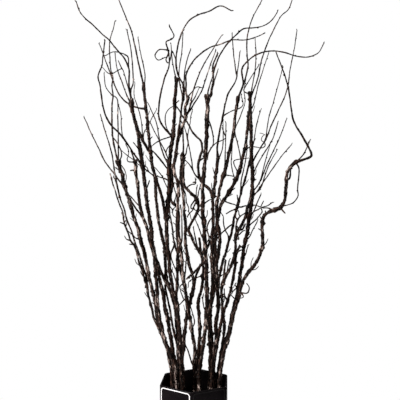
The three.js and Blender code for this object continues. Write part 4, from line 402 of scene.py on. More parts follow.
        (107.4, 609), (110.6, 617), (113.4, 625), (115.4, 635), (115.8, 647), (115.4, 657)],
        twigs=[
        (16, (1.9, 1.7), [(57.4, 452), (58.8, 464), (59.8, 476), (61, 488), (62.6, 499)]),
        (12, (1.1, 0.8), [(64, 469), (65.6, 479), (67.4, 489), (70.6, 501)]),
        (12, (1.5, 1.2), [(93.6, 556), (96, 560.4), (99, 566), (101.6, 571.4)]),
        (12, (1.2, 0.9), [(86, 546), (90.6, 551), (95, 555.6), (102, 559)]),
        (-16, (1.5, 1), [(83.6, 553), (83.4, 564), (84.6, 574), (87.6, 581.4), (92, 587), (98, 591),
        (104, 595)]),
        (14, (1, 0.8), [(86.6, 580), (82.6, 584), (83, 592), (85, 598), (87.6, 598), (89, 592),
        (90.4, 586)]),
        (-12, (1, 0.8), [(85, 544), (88.4, 540), (88, 547)])]),
    dict(name="stem_17", girth=(2.7, 2.4), depth=(17, 49, 60),
        route=[(47.4, 277), (49, 291), (51, 304), (53.4, 317), (55.8, 329), (57.6, 341), (58.8, 353),
        (59.2, 365), (58.8, 377), (58.2, 388), (59.4, 398.4), (62.6, 407.4), (65.6, 416.4), (68.6, 426),
        (71.4, 436), (73.6, 446), (75.8, 456), (77.8, 466), (79.6, 476), (80.6, 486), (81.6, 496),
        (82, 506), (83.6, 514), (86.6, 520), (89.6, 525), (91.6, 529)],
        twigs=[
        (16, (1.5, 1.1), [(83, 510), (86, 514.4), (89.6, 517.4), (93, 518.8), (96.6, 520)]),
        (8, (1.6, 1.5), [(81.6, 492), (83.4, 493.4), (85.6, 494)]),
        (10, (1.2, 1.1), [(60, 420), (60.8, 427), (59.8, 435), (59.4, 443)])]),
    dict(name="stem_18", girth=(3.5, 2.6), depth=(-10, -40, -60),
        route=[(52.6, 277), (54, 291), (56.6, 305), (60, 319), (63.8, 331), (67.2, 342), (70.2, 353),
        (72.8, 365), (75.2, 377), (77.8, 388), (80.8, 399), (83.8, 410), (86.8, 421), (89.4, 432),
        (92, 443), (95, 452), (98.6, 459.8), (103, 467.4), (108.2, 475), (113.6, 481.4), (119, 488),
        (124, 495), (128.2, 502.4), (131.8, 510.4), (134.4, 519), (135.8, 529), (136.4, 539),
        (136.2, 549), (135.4, 561), (135.6, 573), (137.4, 582), (141.6, 589), (148, 594.4), (155, 597.6),
        (162, 600.2), (169, 603), (175, 607.6), (179.4, 614.4), (181.4, 623), (182.2, 635), (183, 647),
        (183.8, 657), (183.8, 666), (186, 675), (190.4, 683), (195.6, 689), (201.6, 694.4), (205, 696.4)],
        twigs=[
        (-60, (1.9, 0.8), [(204, 695.6), (215, 699), (227, 703), (233, 707), (233, 713), (229, 723),
        (215, 747), (201, 771), (197, 781), (191, 819), (187, 847), (175, 883), (163, 915)]),
        (24, (1.1, 0.8), [(203, 695), (217, 709), (227, 729), (232, 741)]),
        (40, (1.1, 0.8), [(202, 694), (207, 687), (209, 679), (206, 639), (207, 627), (197, 613.6),
        (185, 609), (171, 605.6), (159, 603.4)]),
        (-16, (1.4, 1), [(170, 604), (181, 593)]),
        (16, (1.2, 0.9), [(157, 599), (147, 603), (135, 603)]),
        (-28, (1.1, 0.8), [(90, 434.4), (97, 433), (105, 433), (109, 439), (109, 445), (104, 453)]),
        (-16, (1, 0.8), [(94, 433), (96.6, 429), (97.6, 425), (92, 422.4)]),
        (-16, (1.1, 0.9), [(87, 419), (80, 422), (73, 429)]),
        (14, (1.4, 1.2), [(185, 658), (189.6, 662), (191.4, 670), (192, 679), (194.6, 685)])]),
    dict(name="stem_19", girth=(2.8, 2.4), depth=(42, 3, -16),
        route=[(-30, 277), (-27.8, 291), (-25.4, 305), (-23.8, 317), (-23.2, 328), (-24.6, 339),
        (-27.2, 348), (-29.4, 357), (-31, 367), (-32.2, 379), (-32.6, 391), (-33.2, 403), (-34.6, 415),
        (-36, 427), (-35.6, 438), (-34.8, 449), (-34.4, 461), (-34.4, 474), (-34, 487), (-34.2, 499),
        (-33.6, 511), (-33, 522), (-33.6, 534), (-34.4, 547), (-35, 561), (-35, 575), (-34.4, 589),
        (-34.4, 599), (-36, 606), (-40, 610.6), (-44.2, 614), (-47, 619), (-48, 627), (-47, 638),
        (-45.4, 649), (-44.6, 661), (-44.6, 673), (-44.8, 683), (-44, 691)],
        twigs=[
        (16, (1.1, 0.8), [(-35.4, 447), (-37.4, 457), (-39.8, 464.4), (-42.4, 472), (-45, 478),
        (-47.6, 482)]),
        (-14, (1, 0.7), [(-46.4, 639), (-42, 647), (-40, 654), (-37, 652), (-34.6, 644)]),
        (12, (1.1, 0.8), [(-36, 618), (-37, 629), (-39.8, 640), (-42, 650)])]),
    dict(name="stem_20", girth=(2.7, 1.4), depth=(-16, 40, 70),
        route=[(-22, 277), (-23.8, 291), (-23.6, 305), (-21.2, 319), (-20.4, 331), (-20.4, 343),
        (-19.2, 357), (-17.6, 369), (-16.2, 383), (-15.4, 397), (-16, 411), (-17.2, 425), (-19, 439),
        (-21.4, 450), (-24.2, 460), (-27, 469), (-29, 479), (-29.8, 490), (-31.2, 500), (-33.8, 509),
        (-36.2, 518), (-38, 526), (-40.2, 534), (-42.4, 542), (-43.6, 551), (-44, 561), (-45, 570),
        (-47, 579), (-49, 589), (-50.2, 599), (-50.2, 611)],
        twigs=[
        (14, (1.3, 0.9), [(-39.4, 530), (-43, 522.4), (-46.2, 515), (-47.2, 508.6), (-45, 498),
        (-42, 489.6), (-39, 483), (-36.4, 478)]),
        (-12, (1, 0.8), [(-21.8, 451), (-26.4, 449.4), (-29.4, 445), (-28.2, 440.2), (-24.4, 438.4),
        (-21, 434)]),
        (12, (1, 0.8), [(-17, 418.4), (-21.4, 421), (-24.4, 427.4), (-27, 434.4), (-28.6, 439)]),
        (-10, (1.2, 0.9), [(-16.6, 421), (-20.4, 419.8), (-25, 415), (-29, 410.6), (-32, 408.2)])]),
]

# How pale each stem's bark is, from 0 for dark bark to 1 for many pale flecks, which are partly
# pale skin and partly painted highlight standing in for glints of light
PALE_BARK = {"stem_01": 0.8, "stem_02": 0.7, "stem_03": 0.8, "stem_05": 0.6, "stem_07": 0.95,
             "stem_08": 0.7, "stem_09": 0.7, "stem_10": 0.75, "stem_12": 0.6, "stem_18": 0.6}
PLAIN_PALE = 0.4
# How much stouter bark and nodes make the stems than the CAD's plain ones, at foot and tip
STEM_SWELL = (1.24, 1.12)
TWIG_SWELL = 1.25
UNCUT = {"stem_01"}  # its top is a twig's tip; all the other stems end in a cut

# ---- How uneven a limb is (lengths in mm; sizes are shares of the limb's radius) ----
STEM_STEP, TWIG_STEP = 2.0, 2.4  # between the rings of a tube
STEM_SIDES, STOUT_SIDES, FINE_SIDES = 14, 10, 7
STOUT_GIRTH = 1.6  # a twig thicker than this is stout: it has some pale flecks (pale skin and painted highlight) and a blunt end
STOUT_PALE = 0.8  # how pale a stout twig's bark is, as a share of its stem's
WANDER, MOST_WANDER = 0.1, 0.35  # how far a limb strays from its route: a share, and at most in mm
WANDER_FADE = 12  # from each end of the limb, over which the straying dies away
SIDE_WAVES, REAR_WAVES = (23, 41, 67), (19, 37, 71)
SWELL, SWELL_WAVES = 0.125, (5, 8, 13, 26, 48)
FORK_SWELL = 0.22
TIP_FLOOR = 0.04  # the square of a rounded tip's least radius, as a share of the radius there
RIDGES = ((1, 0.035), (2, 0.06), (3, 0.06), (5, 0.055))  # how many round the limb, and their size
RIDGE_WAVES, RIDGE_SWAY = (57, 130), 1.3
RIDGE_PITCH = (60, 160)  # length over which a ridge turns by one radian
PATCH_WAVES, PATCH_SIZE = (34, 77, 150), 0.55  # of the stretches with more pale flecks (pale skin and painted highlight)
CUT_SLANT = 0.35
LIE_SHIFT = 900  # each limb's bark is taken from its own stretch of the pattern, up to this far up

# ---- Knots, stubs and buds ----
KNOTS_PER_STEM = 52
KNOT_SPAN = (0.2, 1)  # of the stem's length
KNOT_SIZE = (0.2, 0.65)
KNOT_FOCUS = 3.0  # how closely a knot keeps to its own side of the stem
STUBS_PER_STEM = 11
STUB_SPAN = (0.52, 0.97)  # of the stem's length
STUB_PALE = 0.1
THIN_STUB_REACH, BLUNT_STUB_REACH = (7, 16), (2, 7)
FLARE = 0.9  # how much a twig widens where it leaves its limb
BUD_SPACING = 27
BUD_LENGTH = 4.2
BUD_WIDTH = 0.24  # half of it, as a share of the length
BUD_TURN = 2.4  # radians round the limb from one bud to the next
BUD_LEAN = (0.93, 0.37)  # tipwards and outwards


# ---------------------------------------------------------------- routes

def place(across, up, depth):
    """Points of the front elevation moved back by depth: spread outwards from the eye's axis
    in proportion to their distance from the eye."""
    spread = (EYE_AWAY + depth) / EYE_AWAY
    return np.stack([EYE_ASIDE + (across - EYE_ASIDE) * spread, depth + 0 * across,
                     EYE_HEIGHT + (up - EYE_HEIGHT) * spread], axis=-1)


def drawn(points):
    """The reverse of place: where points of the model appear on the front elevation."""
    spread = (EYE_AWAY + points[:, 1]) / EYE_AWAY
    return np.stack([EYE_ASIDE + (points[:, 0] - EYE_ASIDE) / spread,
                     EYE_HEIGHT + (points[:, 2] - EYE_HEIGHT) / spread], axis=-1)


def depth_at(depths, up):
    """The parabola through the three given depths."""
    low, middle, high = DEPTH_LEVELS
    a, b, c = depths
    return (a * (up - middle) * (up - high) / ((low - middle) * (low - high))
            + b * (up - low) * (up - high) / ((middle - low) * (middle - high))
            + c * (up - low) * (up - middle) / ((high - low) * (high - middle)))


def smooth(points, step):
    """A centripetal Catmull-Rom curve through points, sampled about every step: each span is a
    blend of blends of its four nearest points, with knots spaced by the root of distance."""
    if len(points) == 2:
        points = np.stack([points[0], points.mean(0), points[1]])
    ends = np.vstack([2 * points[0] - points[1], points, 2 * points[-1] - points[-2]])
    spans = []
    for p0, p1, p2, p3 in zip(ends[:-3], ends[1:-2], ends[2:-1], ends[3:]):
        gaps = [np.sqrt(np.linalg.norm(q - p)) + 1e-6 for p, q in ((p0, p1), (p1, p2), (p2, p3))]
        knots = np.cumsum([0] + gaps)
        count = max(2, int(np.linalg.norm(p2 - p1) / step) + 1)
        t = np.linspace(knots[1], knots[2], count, endpoint=False)[:, None]

        def blend(a, b, i, j):
            return (a * (knots[j] - t) + b * (t - knots[i])) / (knots[j] - knots[i])

        a1, a2, a3 = blend(p0, p1, 0, 1), blend(p1, p2, 1, 2), blend(p2, p3, 2, 3)
        spans.append(blend(blend(a1, a2, 0, 2), blend(a2, a3, 1, 3), 1, 2))
    return np.vstack(spans + [points[-1:]])


def run(path):
    """Distance along a path at each of its points."""
    return np.concatenate([[0], np.cumsum(np.linalg.norm(np.diff(path, axis=0), axis=1))])


def stem_route(stem):
    """From the foot on the vase's floor, through the mouth and up the drawn route."""
    across, up = np.array(stem["route"], float).T
    points = place(across, up, depth_at(stem["depth"], up))
    foot = [points[0, 0] * FOOT_DRAW, points[0, 1], FLOOR_THICKNESS + FOOT_GAP]
    return np.vstack([foot, points])


def twig_route(reach, route, limbs):
    """From the nearest place on the limbs made so far; the depth changes evenly by reach.
    Returns the limb's number, the place along it, and the points."""
    route = np.array(route, float)
    misses = [np.linalg.norm(drawn(path) - route[0], axis=1) for path in limbs]
    number = int(np.argmin([miss.min() for miss in misses]))
    spot = int(np.argmin(misses[number]))
    start = limbs[number][spot]
    seen = np.vstack([drawn(start[None]), route[1:]])
    share = run(seen) / run(seen)[-1]
    points = place(seen[:, 0], seen[:, 1], start[1] + reach * share)
    points[0] = start
    return number, run(limbs[number])[spot], points


# ---------------------------------------------------------------- bark tubes

def hum(s, rng, waves, size):
    """A smooth random line along s: a sum of sines with the given wavelengths."""
    total = np.zeros_like(s)
    for wave in waves:
        total += size * np.sin(2 * np.pi * s / wave + rng.uniform(0, 2 * np.pi))
    return total / np.sqrt(len(waves))


def bump(s, centre, width):
    """A smooth bump, one high, round centre."""
    return np.exp(-((s - centre) / width) ** 2)


def axes(path):
    """Unit directions along a path, to its side and to its rear. The side is square to the
    depth axis, which no limb follows, so the rings never twist."""
    slope = np.gradient(path, run(path), axis=0)
    slope /= np.linalg.norm(slope, axis=1)[:, None]
    side = np.cross(slope, [0, 1, 0])
    side /= np.linalg.norm(side, axis=1)[:, None]
    return slope, side, np.cross(side, slope)


def ring_faces(rings, sides):
    """Quads between neighbouring rings, and at each end a fan of triangles round a middle
    point; the two middle points follow the rings."""
    i, k = np.meshgrid(np.arange(rings - 1), np.arange(sides), indexing="ij")
    a = i * sides + k
    b = i * sides + (k + 1) % sides
    quads = np.stack([a, b, b + sides, a + sides], axis=-1).reshape(-1, 4)
    k = np.arange(sides)
    after = (k + 1) % sides
    top = (rings - 1) * sides
    low = np.stack([after, k, np.full(sides, rings * sides)], axis=-1)
    high = np.stack([top + k, top + after, np.full(sides, rings * sides + 1)], axis=-1)
    return quads, np.vstack([low, high])


class Piece:
    """Collects closed shells, with what the bark reads at each vertex: its place on the limb
    laid out straight, how pale it is, how near a knot, and whether it is cut wood."""

    def __init__(self):
        self.total = 0
        self.columns = {name: [] for name in ("points", "quads", "tris", "lie", "pale", "knot", "cut")}

    def add(self, points, quads, tris, lie, pale, knot, cut):
        values = (points, quads + self.total, tris + self.total, lie, pale, knot, cut)
        for column, value in zip(self.columns.values(), values):
            column.append(value)
        self.total += len(points)

    def mesh(self, name):
        whole = {key: np.concatenate(value) for key, value in self.columns.items()}
        mesh = make_mesh(name, whole["points"], whole["quads"], whole["tris"])
        lie = mesh.attributes.new("lie", "FLOAT_VECTOR", "POINT")
        lie.data.foreach_set("vector", (whole["lie"] * MM).astype(np.float32).ravel())
        for key in ("pale", "knot", "cut"):
            attribute = mesh.attributes.new(key, "FLOAT", "POINT")
            attribute.data.foreach_set("value", whole[key].astype(np.float32))
        return mesh


def make_mesh(name, points, quads, tris):
    """A smooth-shaded mesh from points in mm and its faces."""
    mesh = bpy.data.meshes.new(name)
    mesh.vertices.add(len(points))
    mesh.vertices.foreach_set("co", (points * MM).astype(np.float32).ravel())
    loops = np.concatenate([quads.ravel(), tris.ravel()])
    sizes = np.concatenate([np.full(len(quads), 4), np.full(len(tris), 3)])
    mesh.loops.add(len(loops))
    mesh.loops.foreach_set("vertex_index", loops.astype(np.int32))
    mesh.polygons.add(len(sizes))
    mesh.polygons.foreach_set("loop_start", (np.cumsum(sizes) - sizes).astype(np.int32))
    mesh.update(calc_edges=True)
    mesh.validate()
    mesh.shade_smooth()
    return mesh


def limb(piece, path, girth, sides, rng, pale, knots=(), forks=(), flare=0.0, blunt=False):
    """A bark tube along path: path + r (side cos a - rear sin a), where r is the girth, from end
    to end, times the swellings (slow ones, a collar at each fork, and flare where a twig leaves
    its limb), times one plus long ridges that turn slowly round the limb and a one-sided lump at
    each knot. A blunt limb ends in a slanted cut, any other in a rounded tip."""
    s = run(path)
    length = s[-1]
    slope, side, rear = axes(path)
    girth_here = girth[0] + (girth[1] - girth[0]) * s / length
    wander = min(WANDER * girth[0], MOST_WANDER)
    fade = np.clip(s / WANDER_FADE, 0, 1) * np.clip((length - s) / WANDER_FADE, 0, 1)
    path = path + fade[:, None] * (side * hum(s, rng, SIDE_WAVES, wander)[:, None]
                                   + rear * hum(s, rng, REAR_WAVES, wander)[:, None])

    swell = 1 + hum(s, rng, SWELL_WAVES, SWELL)
    for centre in forks:
        swell += FORK_SWELL * bump(s, centre, 1.5 * girth[0])
    swell += flare * np.exp(-s / (2.0 * girth[0] + 1.0))
    if not blunt:
        swell *= np.sqrt(np.clip((length - s) / (1.5 * girth[1]), TIP_FLOOR, 1))
    around = (2 * np.pi * np.arange(sides) / sides)[None, :]
    ridges = np.zeros((len(s), sides))
    for lobes, size in RIDGES:
        start = rng.uniform(0, 2 * np.pi)
        twist = start + hum(s, rng, RIDGE_WAVES, RIDGE_SWAY) + s / rng.uniform(*RIDGE_PITCH)
        ridges += size * np.cos(lobes * around + twist[:, None])
    knot = np.zeros((len(s), sides))
    for centre, facing, size in knots:
        lump = bump(s, centre, 0.55 * girth[0] + 0.6)[:, None]
        lump = lump * np.exp(KNOT_FOCUS * (np.cos(around - facing) - 1))
        ridges += size * lump
        knot = np.maximum(knot, lump)
    radius = (girth_here * swell)[:, None] * (1 + ridges)
    rings = (path[:, None]
             + side[:, None] * (radius * np.cos(around))[..., None]
             + rear[:, None] * (-radius * np.sin(around))[..., None])
    if blunt:
        slant = CUT_SLANT * np.cos(around[0] - rng.uniform(0, 2 * np.pi)) * radius[-1]
        rings[-1] += slope[-1] * slant[:, None]
    points = np.vstack([rings.reshape(-1, 3), path[:1], rings[-1].mean(0, keepdims=True)])

    offset = rng.uniform(0, LIE_SHIFT)
    lie = np.stack([girth_here[:, None] * np.cos(around), girth_here[:, None] * np.sin(around),
                    (s + offset)[:, None] + 0 * around], axis=-1).reshape(-1, 3)
    lie = np.vstack([lie, [[0, 0, offset]], [[0, 0, offset + length]]])
    patch = np.clip(0.5 + hum(s, rng, PATCH_WAVES, PATCH_SIZE), 0, 1)
    pale_here = np.append(np.repeat(pale * patch, sides), [pale, pale])
    cut = np.zeros(len(points))
    if blunt:
        cut[-1] = 1
    quads, tris = ring_faces(len(s), sides)
    piece.add(points, quads, tris, lie, pale_here, np.append(knot.ravel(), [0, 0]), cut)
    return path


def bud_shape():
    """A pointed egg lying along +Z: five rings of six, as wide as a sine of the way up."""
    sides = 6
    up = np.array([0.08, 0.3, 0.55, 0.8, 0.97])
    width = np.sin(np.pi * up ** 0.7) ** 0.8
    around = 2 * np.pi * np.arange(sides) / sides
    rings = np.stack([width[:, None] * np.cos(around), width[:, None] * np.sin(around),
                      up[:, None] + 0 * around], axis=-1)
    points = np.vstack([rings.reshape(-1, 3), [[0, 0, 0]], [[0, 0, 1.05]]])
    return points, *ring_faces(len(up), sides)


def buds(piece, path, girth, rng):
    """Buds along a limb, one every BUD_SPACING or so and one at its tip, turning round it and
    hugging it: every copy of the bud is turned to its own axes (tipward, outward, across) and
    moved to its place."""
    s = run(path)
    at = np.arange(BUD_SPACING, s[-1] - 2, BUD_SPACING)
    if not len(at):
        return
    at = np.append(at + rng.uniform(-0.3, 0.3, len(at)) * BUD_SPACING, s[-1] - 1.5)
    slope, side, rear = (np.stack([np.interp(at, s, axis[:, c]) for c in range(3)], axis=-1)
                         for axis in axes(path))
    spots = np.stack([np.interp(at, s, path[:, c]) for c in range(3)], axis=-1)
    facing = (rng.uniform(0, 2 * np.pi) + np.arange(len(at)) * BUD_TURN)[:, None]
    out = side * np.cos(facing) + rear * np.sin(facing)
    radius = np.interp(at, s, girth[0] + (girth[1] - girth[0]) * s / s[-1])
    tipward = slope * BUD_LEAN[0] + out * BUD_LEAN[1]
    across = np.cross(tipward, out)
    across /= np.linalg.norm(across, axis=1)[:, None]
    outward = np.cross(across, tipward)
    shape, quads, tris = bud_shape()
    long = BUD_LENGTH * rng.uniform(0.75, 1.2, len(at))[:, None, None]
    wide = BUD_WIDTH * long
    base = spots + out * (radius * 0.55)[:, None]
    copies = (base[:, None]
              + across[:, None] * wide * shape[None, :, :1]
              + outward[:, None] * wide * shape[None, :, 1:2]
              + tipward[:, None] * long * shape[None, :, 2:])
    shift = (np.arange(len(at)) * len(shape))[:, None, None]
    points = copies.reshape(-1, 3)
    none = np.zeros(len(points))
    piece.add(points, (quads + shift).reshape(-1, 4), (tris + shift).reshape(-1, 3), points,
              none, none + 0.5, none)


def stubs(piece, path, girth, rng):
    """Short broken twigs on a stem: little blunt limbs leaning out of the bark, every second
    one thin and long and bent towards the stem's tip."""
    slope, side, rear = axes(path)
    s = run(path)
    for number, at in enumerate(rng.uniform(*STUB_SPAN, STUBS_PER_STEM) * s[-1]):
        i = int(np.searchsorted(s, at)) - 1
        facing = rng.uniform(0, 2 * np.pi)
        out = side[i] * np.cos(facing) + rear[i] * np.sin(facing)
        if number % 2:
            reach = girth[0] + rng.uniform(*THIN_STUB_REACH)
            bend = path[i] + out * 0.4 * reach + slope[i] * 0.45 * reach
            tip = bend + out * rng.uniform(0.05, 0.45) * reach + slope[i] * 0.6 * reach
            limb(piece, smooth(np.stack([path[i], bend, tip]), 2.0),
                 (0.24 * girth[0], 0.17 * girth[0]), 6, rng, STUB_PALE, flare=0.8)
        else:
            reach = girth[0] + rng.uniform(*BLUNT_STUB_REACH)
            tip = path[i] + out * 0.8 * reach + slope[i] * 0.6 * reach
            limb(piece, smooth(np.stack([path[i], tip]), 1.5),
                 (0.3 * girth[0], 0.24 * girth[0]), 7, rng, STUB_PALE, flare=0.5, blunt=True)


def add_piece(name, mesh, material, node):
    """The object that stands for a node of the frame, riding on its one body."""
    obj = bpy.data.objects.new(name, mesh)
    bpy.context.scene.collection.objects.link(obj)
    obj.data.materials.append(material)
    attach(obj, "root")
    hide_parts(node)


def make_stem(stem, number):
    """One stem with its twigs, forks, knots, stubs and buds, all in one piece."""
    rng = np.random.default_rng(100 + number)
    pale = PALE_BARK.get(stem["name"], PLAIN_PALE)
    stout_girth = tuple(np.multiply(STEM_SWELL, stem["girth"]))
    paths = [smooth(stem_route(stem), STEM_STEP)]
    girths = [stout_girth]
    forks = [[]]
    for reach, girth, route in stem["twigs"]:
        parent, at, points = twig_route(reach, route, paths)
        forks[parent].append(at)
        paths.append(smooth(points, TWIG_STEP))
        girths.append(tuple(TWIG_SWELL * radius for radius in girth))
        forks.append([])
    length = run(paths[0])[-1]
    knots = [(at, rng.uniform(0, 2 * np.pi), rng.uniform(*KNOT_SIZE))
             for at in rng.uniform(*KNOT_SPAN, KNOTS_PER_STEM) * length]
    piece = Piece()
    limb(piece, paths[0], girths[0], STEM_SIDES, rng, pale, knots, forks[0],
         blunt=stem["name"] not in UNCUT)
    stubs(piece, paths[0], girths[0], rng)
    for path, girth, fork in zip(paths[1:], girths[1:], forks[1:]):
        stout = girth[0] > STOUT_GIRTH
        sides = STOUT_SIDES if stout else FINE_SIDES
        limb(piece, path, girth, sides, rng, pale * STOUT_PALE if stout else 0, forks=fork,
             flare=FLARE, blunt=stout)
        buds(piece, path, girth, rng)
    name = stem["name"] + "_bark"
    add_piece(name, piece.mesh(name), bark, stem["name"])


# ---------------------------------------------------------------- the vase

CORNER_POINTS = 9  # along the arc of each corner
SIDE_SPANS = 7  # along each flat side
LEAST_ARC = 1.2
HEEL_ARC = 3  # mm, where the inside of the wall meets the floor
# How strong the painted highlight is near the edges of each face, from the front-right one round
# to the front-left one: a pale line in the glaze's colour that stands in for the left softbox's
# reflection in the rounded edges, so it is strongest on the faces turned towards that light
EDGE_HIGHLIGHT_BY_FACE = np.array([0.015, 0.05, 0.1, 0.2, 0.5, 1.0])


def edge_places(inset, below_rim):
    """For every point of hexagon(inset): how far it lies round the outline from the nearest
    corner's middle, how far below the rim (both mm), and how strong its face's painted highlight is."""
    outline = hexagon(inset)
    steps = np.linalg.norm(np.roll(outline, -1, axis=0) - outline, axis=1)
    there = np.concatenate([[0], np.cumsum(steps)])
    span = there[-1] / VASE_SIDES
    from_corner = (there[:-1] - there[CORNER_POINTS // 2]) % span
    from_corner = np.minimum(from_corner, span - from_corner)
    number = np.arange(len(outline)) - CORNER_POINTS // 2
    face = number // (len(outline) // VASE_SIDES) % VASE_SIDES
    return np.column_stack([from_corner, np.full(len(outline), below_rim), EDGE_HIGHLIGHT_BY_FACE[face]])


def hexagon(inset):
    """A hexagon whose corners are arcs, moved inwards by inset: the arcs keep their centres and
    lose the inset from their radius, down to a small arc, after which they move in."""
    arc = max(CORNER_ARC - inset, LEAST_ARC)
    to_side = VASE_RADIUS * np.cos(np.pi / VASE_SIDES) - inset
    centre = (to_side - arc) / np.cos(np.pi / VASE_SIDES)
    corner = VASE_TURN + np.arange(VASE_SIDES)[:, None] * 2 * np.pi / VASE_SIDES
    swing = corner + np.linspace(-0.5, 0.5, CORNER_POINTS)[None] * 2 * np.pi / VASE_SIDES
    arcs = np.stack([centre * np.cos(corner) + arc * np.cos(swing),
                     centre * np.sin(corner) + arc * np.sin(swing)], axis=-1)
    share = np.linspace(0, 1, SIDE_SPANS + 1)[1:-1][None, :, None]
    start, end = arcs[:, -1:], np.roll(arcs, -1, axis=0)[:, :1]
    sides = start + (end - start) * share
    return np.concatenate([arcs, sides], axis=1).reshape(-1, 2)


def quarter(inset0, height0, inset1, height1):
    """A quarter of an ellipse between two places of the wall's section, upright at the first."""
    return [(inset0 + (inset1 - inset0) * (1 - np.cos(a)), height0 + (height1 - height0) * np.sin(a))
            for a in np.linspace(0, np.pi / 2, 7)]


def make_vase():
    """The section of the wall carried round the hexagon: up the outside from a rounded foot,
    over the rounded rim, down the inside and along the floor, closed at two middle points."""
    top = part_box("vase")[1].z / MM
    half = WALL / 2
    foot = [(FOOT_ARC * (1 - np.sin(a)), FOOT_ARC * (1 - np.cos(a)))
            for a in np.linspace(0, np.pi / 2, 6)]
    wall = [(0, h) for h in np.linspace(FOOT_ARC + 6, top - RIM_ARC - 4, 12)]
    rim = quarter(0, top - RIM_ARC, half, top) + quarter(WALL, top - RIM_ARC, half, top)[::-1][1:]
    inner = [(WALL, h) for h in np.linspace(top - RIM_ARC - 4, FLOOR_THICKNESS + 6, 10)]
    heel = [(WALL + HEEL_ARC * (1 - np.cos(a)), FLOOR_THICKNESS + HEEL_ARC * (1 - np.sin(a)))
            for a in np.linspace(0, np.pi / 2, 5)]
    section = [(30, 0), (12, 0)] + foot + wall + rim + inner + heel + [(20, FLOOR_THICKNESS)]
    loops = [np.column_stack([hexagon(inset), np.full(len(hexagon(inset)), height)])
             for inset, height in section]
    points = np.vstack(loops + [[[0, 0, 0]], [[0, 0, FLOOR_THICKNESS]]])
    quads, tris = ring_faces(len(loops), len(loops[0]))
    mesh = make_mesh("glazed_vase", points, quads, tris)
    outer = np.arange(len(section)) < 2 + len(foot) + len(wall) + len(rim) // 2
    # the third value is the painted highlight's strength, on the outside only
    places = [edge_places(inset, top - height) * (1, 1, out)
              for (inset, height), out in zip(section, outer)]
    lie = mesh.attributes.new("edge_lie", "FLOAT_VECTOR", "POINT")
    lie.data.foreach_set("vector", np.vstack(places + [np.zeros((2, 3))]).astype(np.float32).ravel())
    add_piece("glazed_vase", mesh, glaze, "vase")


# ---------------------------------------------------------------- materials

class Nodes:
    """A short way to add linked nodes to a tree."""

    def __init__(self, tree):
        self.tree = tree

    def add(self, kind, inputs=None, **settings):
        node = self.tree.nodes.new(kind)
        for name, value in settings.items():
            setattr(node, name, value)
        for key, value in (inputs or {}).items():
            if isinstance(value, bpy.types.NodeSocket):
                self.tree.links.new(value, node.inputs[key])
            else:
                node.inputs[key].default_value = value
        return node

    def math(self, operation, a, b=0.0, clamp=False):
        return self.add("ShaderNodeMath", {0: a, 1: b}, operation=operation, use_clamp=clamp).outputs[0]

    def noise(self, vector, scale, detail, rough):
        values = {"Vector": vector, "Scale": scale, "Detail": detail, "Roughness": rough}
        return self.add("ShaderNodeTexNoise", values).outputs["Fac"]

    def stretch(self, vector, scale):
        return self.add("ShaderNodeMapping", {"Vector": vector, "Scale": scale}).outputs[0]

    def band(self, value, low, high):
        """0 below low, 1 above high, and a smooth rise between."""
        node = self.add("ShaderNodeMapRange", {"Value": value, "From Min": low, "From Max": high},
                        interpolation_type="SMOOTHSTEP")
        return node.outputs["Result"]

    def mix(self, share, a, b):
        node = self.add("ShaderNodeMix", {"Factor": share}, data_type="RGBA")
        for socket, value in ((node.inputs[6], a), (node.inputs[7], b)):
            if isinstance(value, bpy.types.NodeSocket):
                self.tree.links.new(value, socket)
            else:
                socket.default_value = (*value, 1)
        return node.outputs[2]


def new_group(name, inputs, outputs):
    """An empty node group with the named sockets, and its input and output nodes."""
    tree = bpy.data.node_groups.new(name, "ShaderNodeTree")
    for socket, kind in inputs:
        tree.interface.new_socket(socket, in_out="INPUT", socket_type=kind)
    for socket, kind in outputs:
        tree.interface.new_socket(socket, in_out="OUTPUT", socket_type=kind)
    return tree, tree.nodes.new("NodeGroupInput"), tree.nodes.new("NodeGroupOutput")


def fine_grain_group():
    """Two sizes of unevenness, for any surface: a slow one and a fine one."""
    both = [("Slow", "NodeSocketFloat"), ("Fine", "NodeSocketFloat")]
    tree, given, out = new_group("fine_grain", [("Vector", "NodeSocketVector")] + both, both)
    n = Nodes(tree)
    slow = n.noise(given.outputs["Vector"], given.outputs["Slow"], 3.0, 0.5)
    fine = n.noise(given.outputs["Vector"], given.outputs["Fine"], 5.0, 0.6)
    tree.links.new(slow, out.inputs["Slow"])
    tree.links.new(fine, out.inputs["Fine"])
    return tree


def new_material(name):
    """A material, a way to add nodes to it, and its shader."""
    material = bpy.data.materials.new(name)
    material.use_nodes = True
    nodes = Nodes(material.node_tree)
    return material, nodes, material.node_tree.nodes["Principled BSDF"]


def grain(nodes, vector, slow, fine):
    """The group's two values, from its pattern's two scales."""
    node = nodes.add("ShaderNodeGroup", node_tree=fine_grain)
    nodes.tree.links.new(vector, node.inputs["Vector"])
    node.inputs["Slow"].default_value = slow
    node.inputs["Fine"].default_value = fine
    return node.outputs["Slow"], node.outputs["Fine"]


DARK_BARK, REDDISH_BARK = (0.001, 0.0005, 0.0004), (0.012, 0.0054, 0.0038)
# the second colour below, the pale pinkish one, is partly dried skin and partly painted highlight
RIDGE_BARK, PALE_SKIN_AND_GLINT = (0.105, 0.054, 0.038), (0.62, 0.48, 0.42)
KNOT_BARK, CUT_WOOD = (0.008, 0.005, 0.004), (0.16, 0.1, 0.065)
GRAIN_STRETCH = (1.0, 1.0, 0.12)  # the bark's furrows and fibres are drawn out along the limb
FLECK_STRETCH = (1.0, 1.0, 0.2)


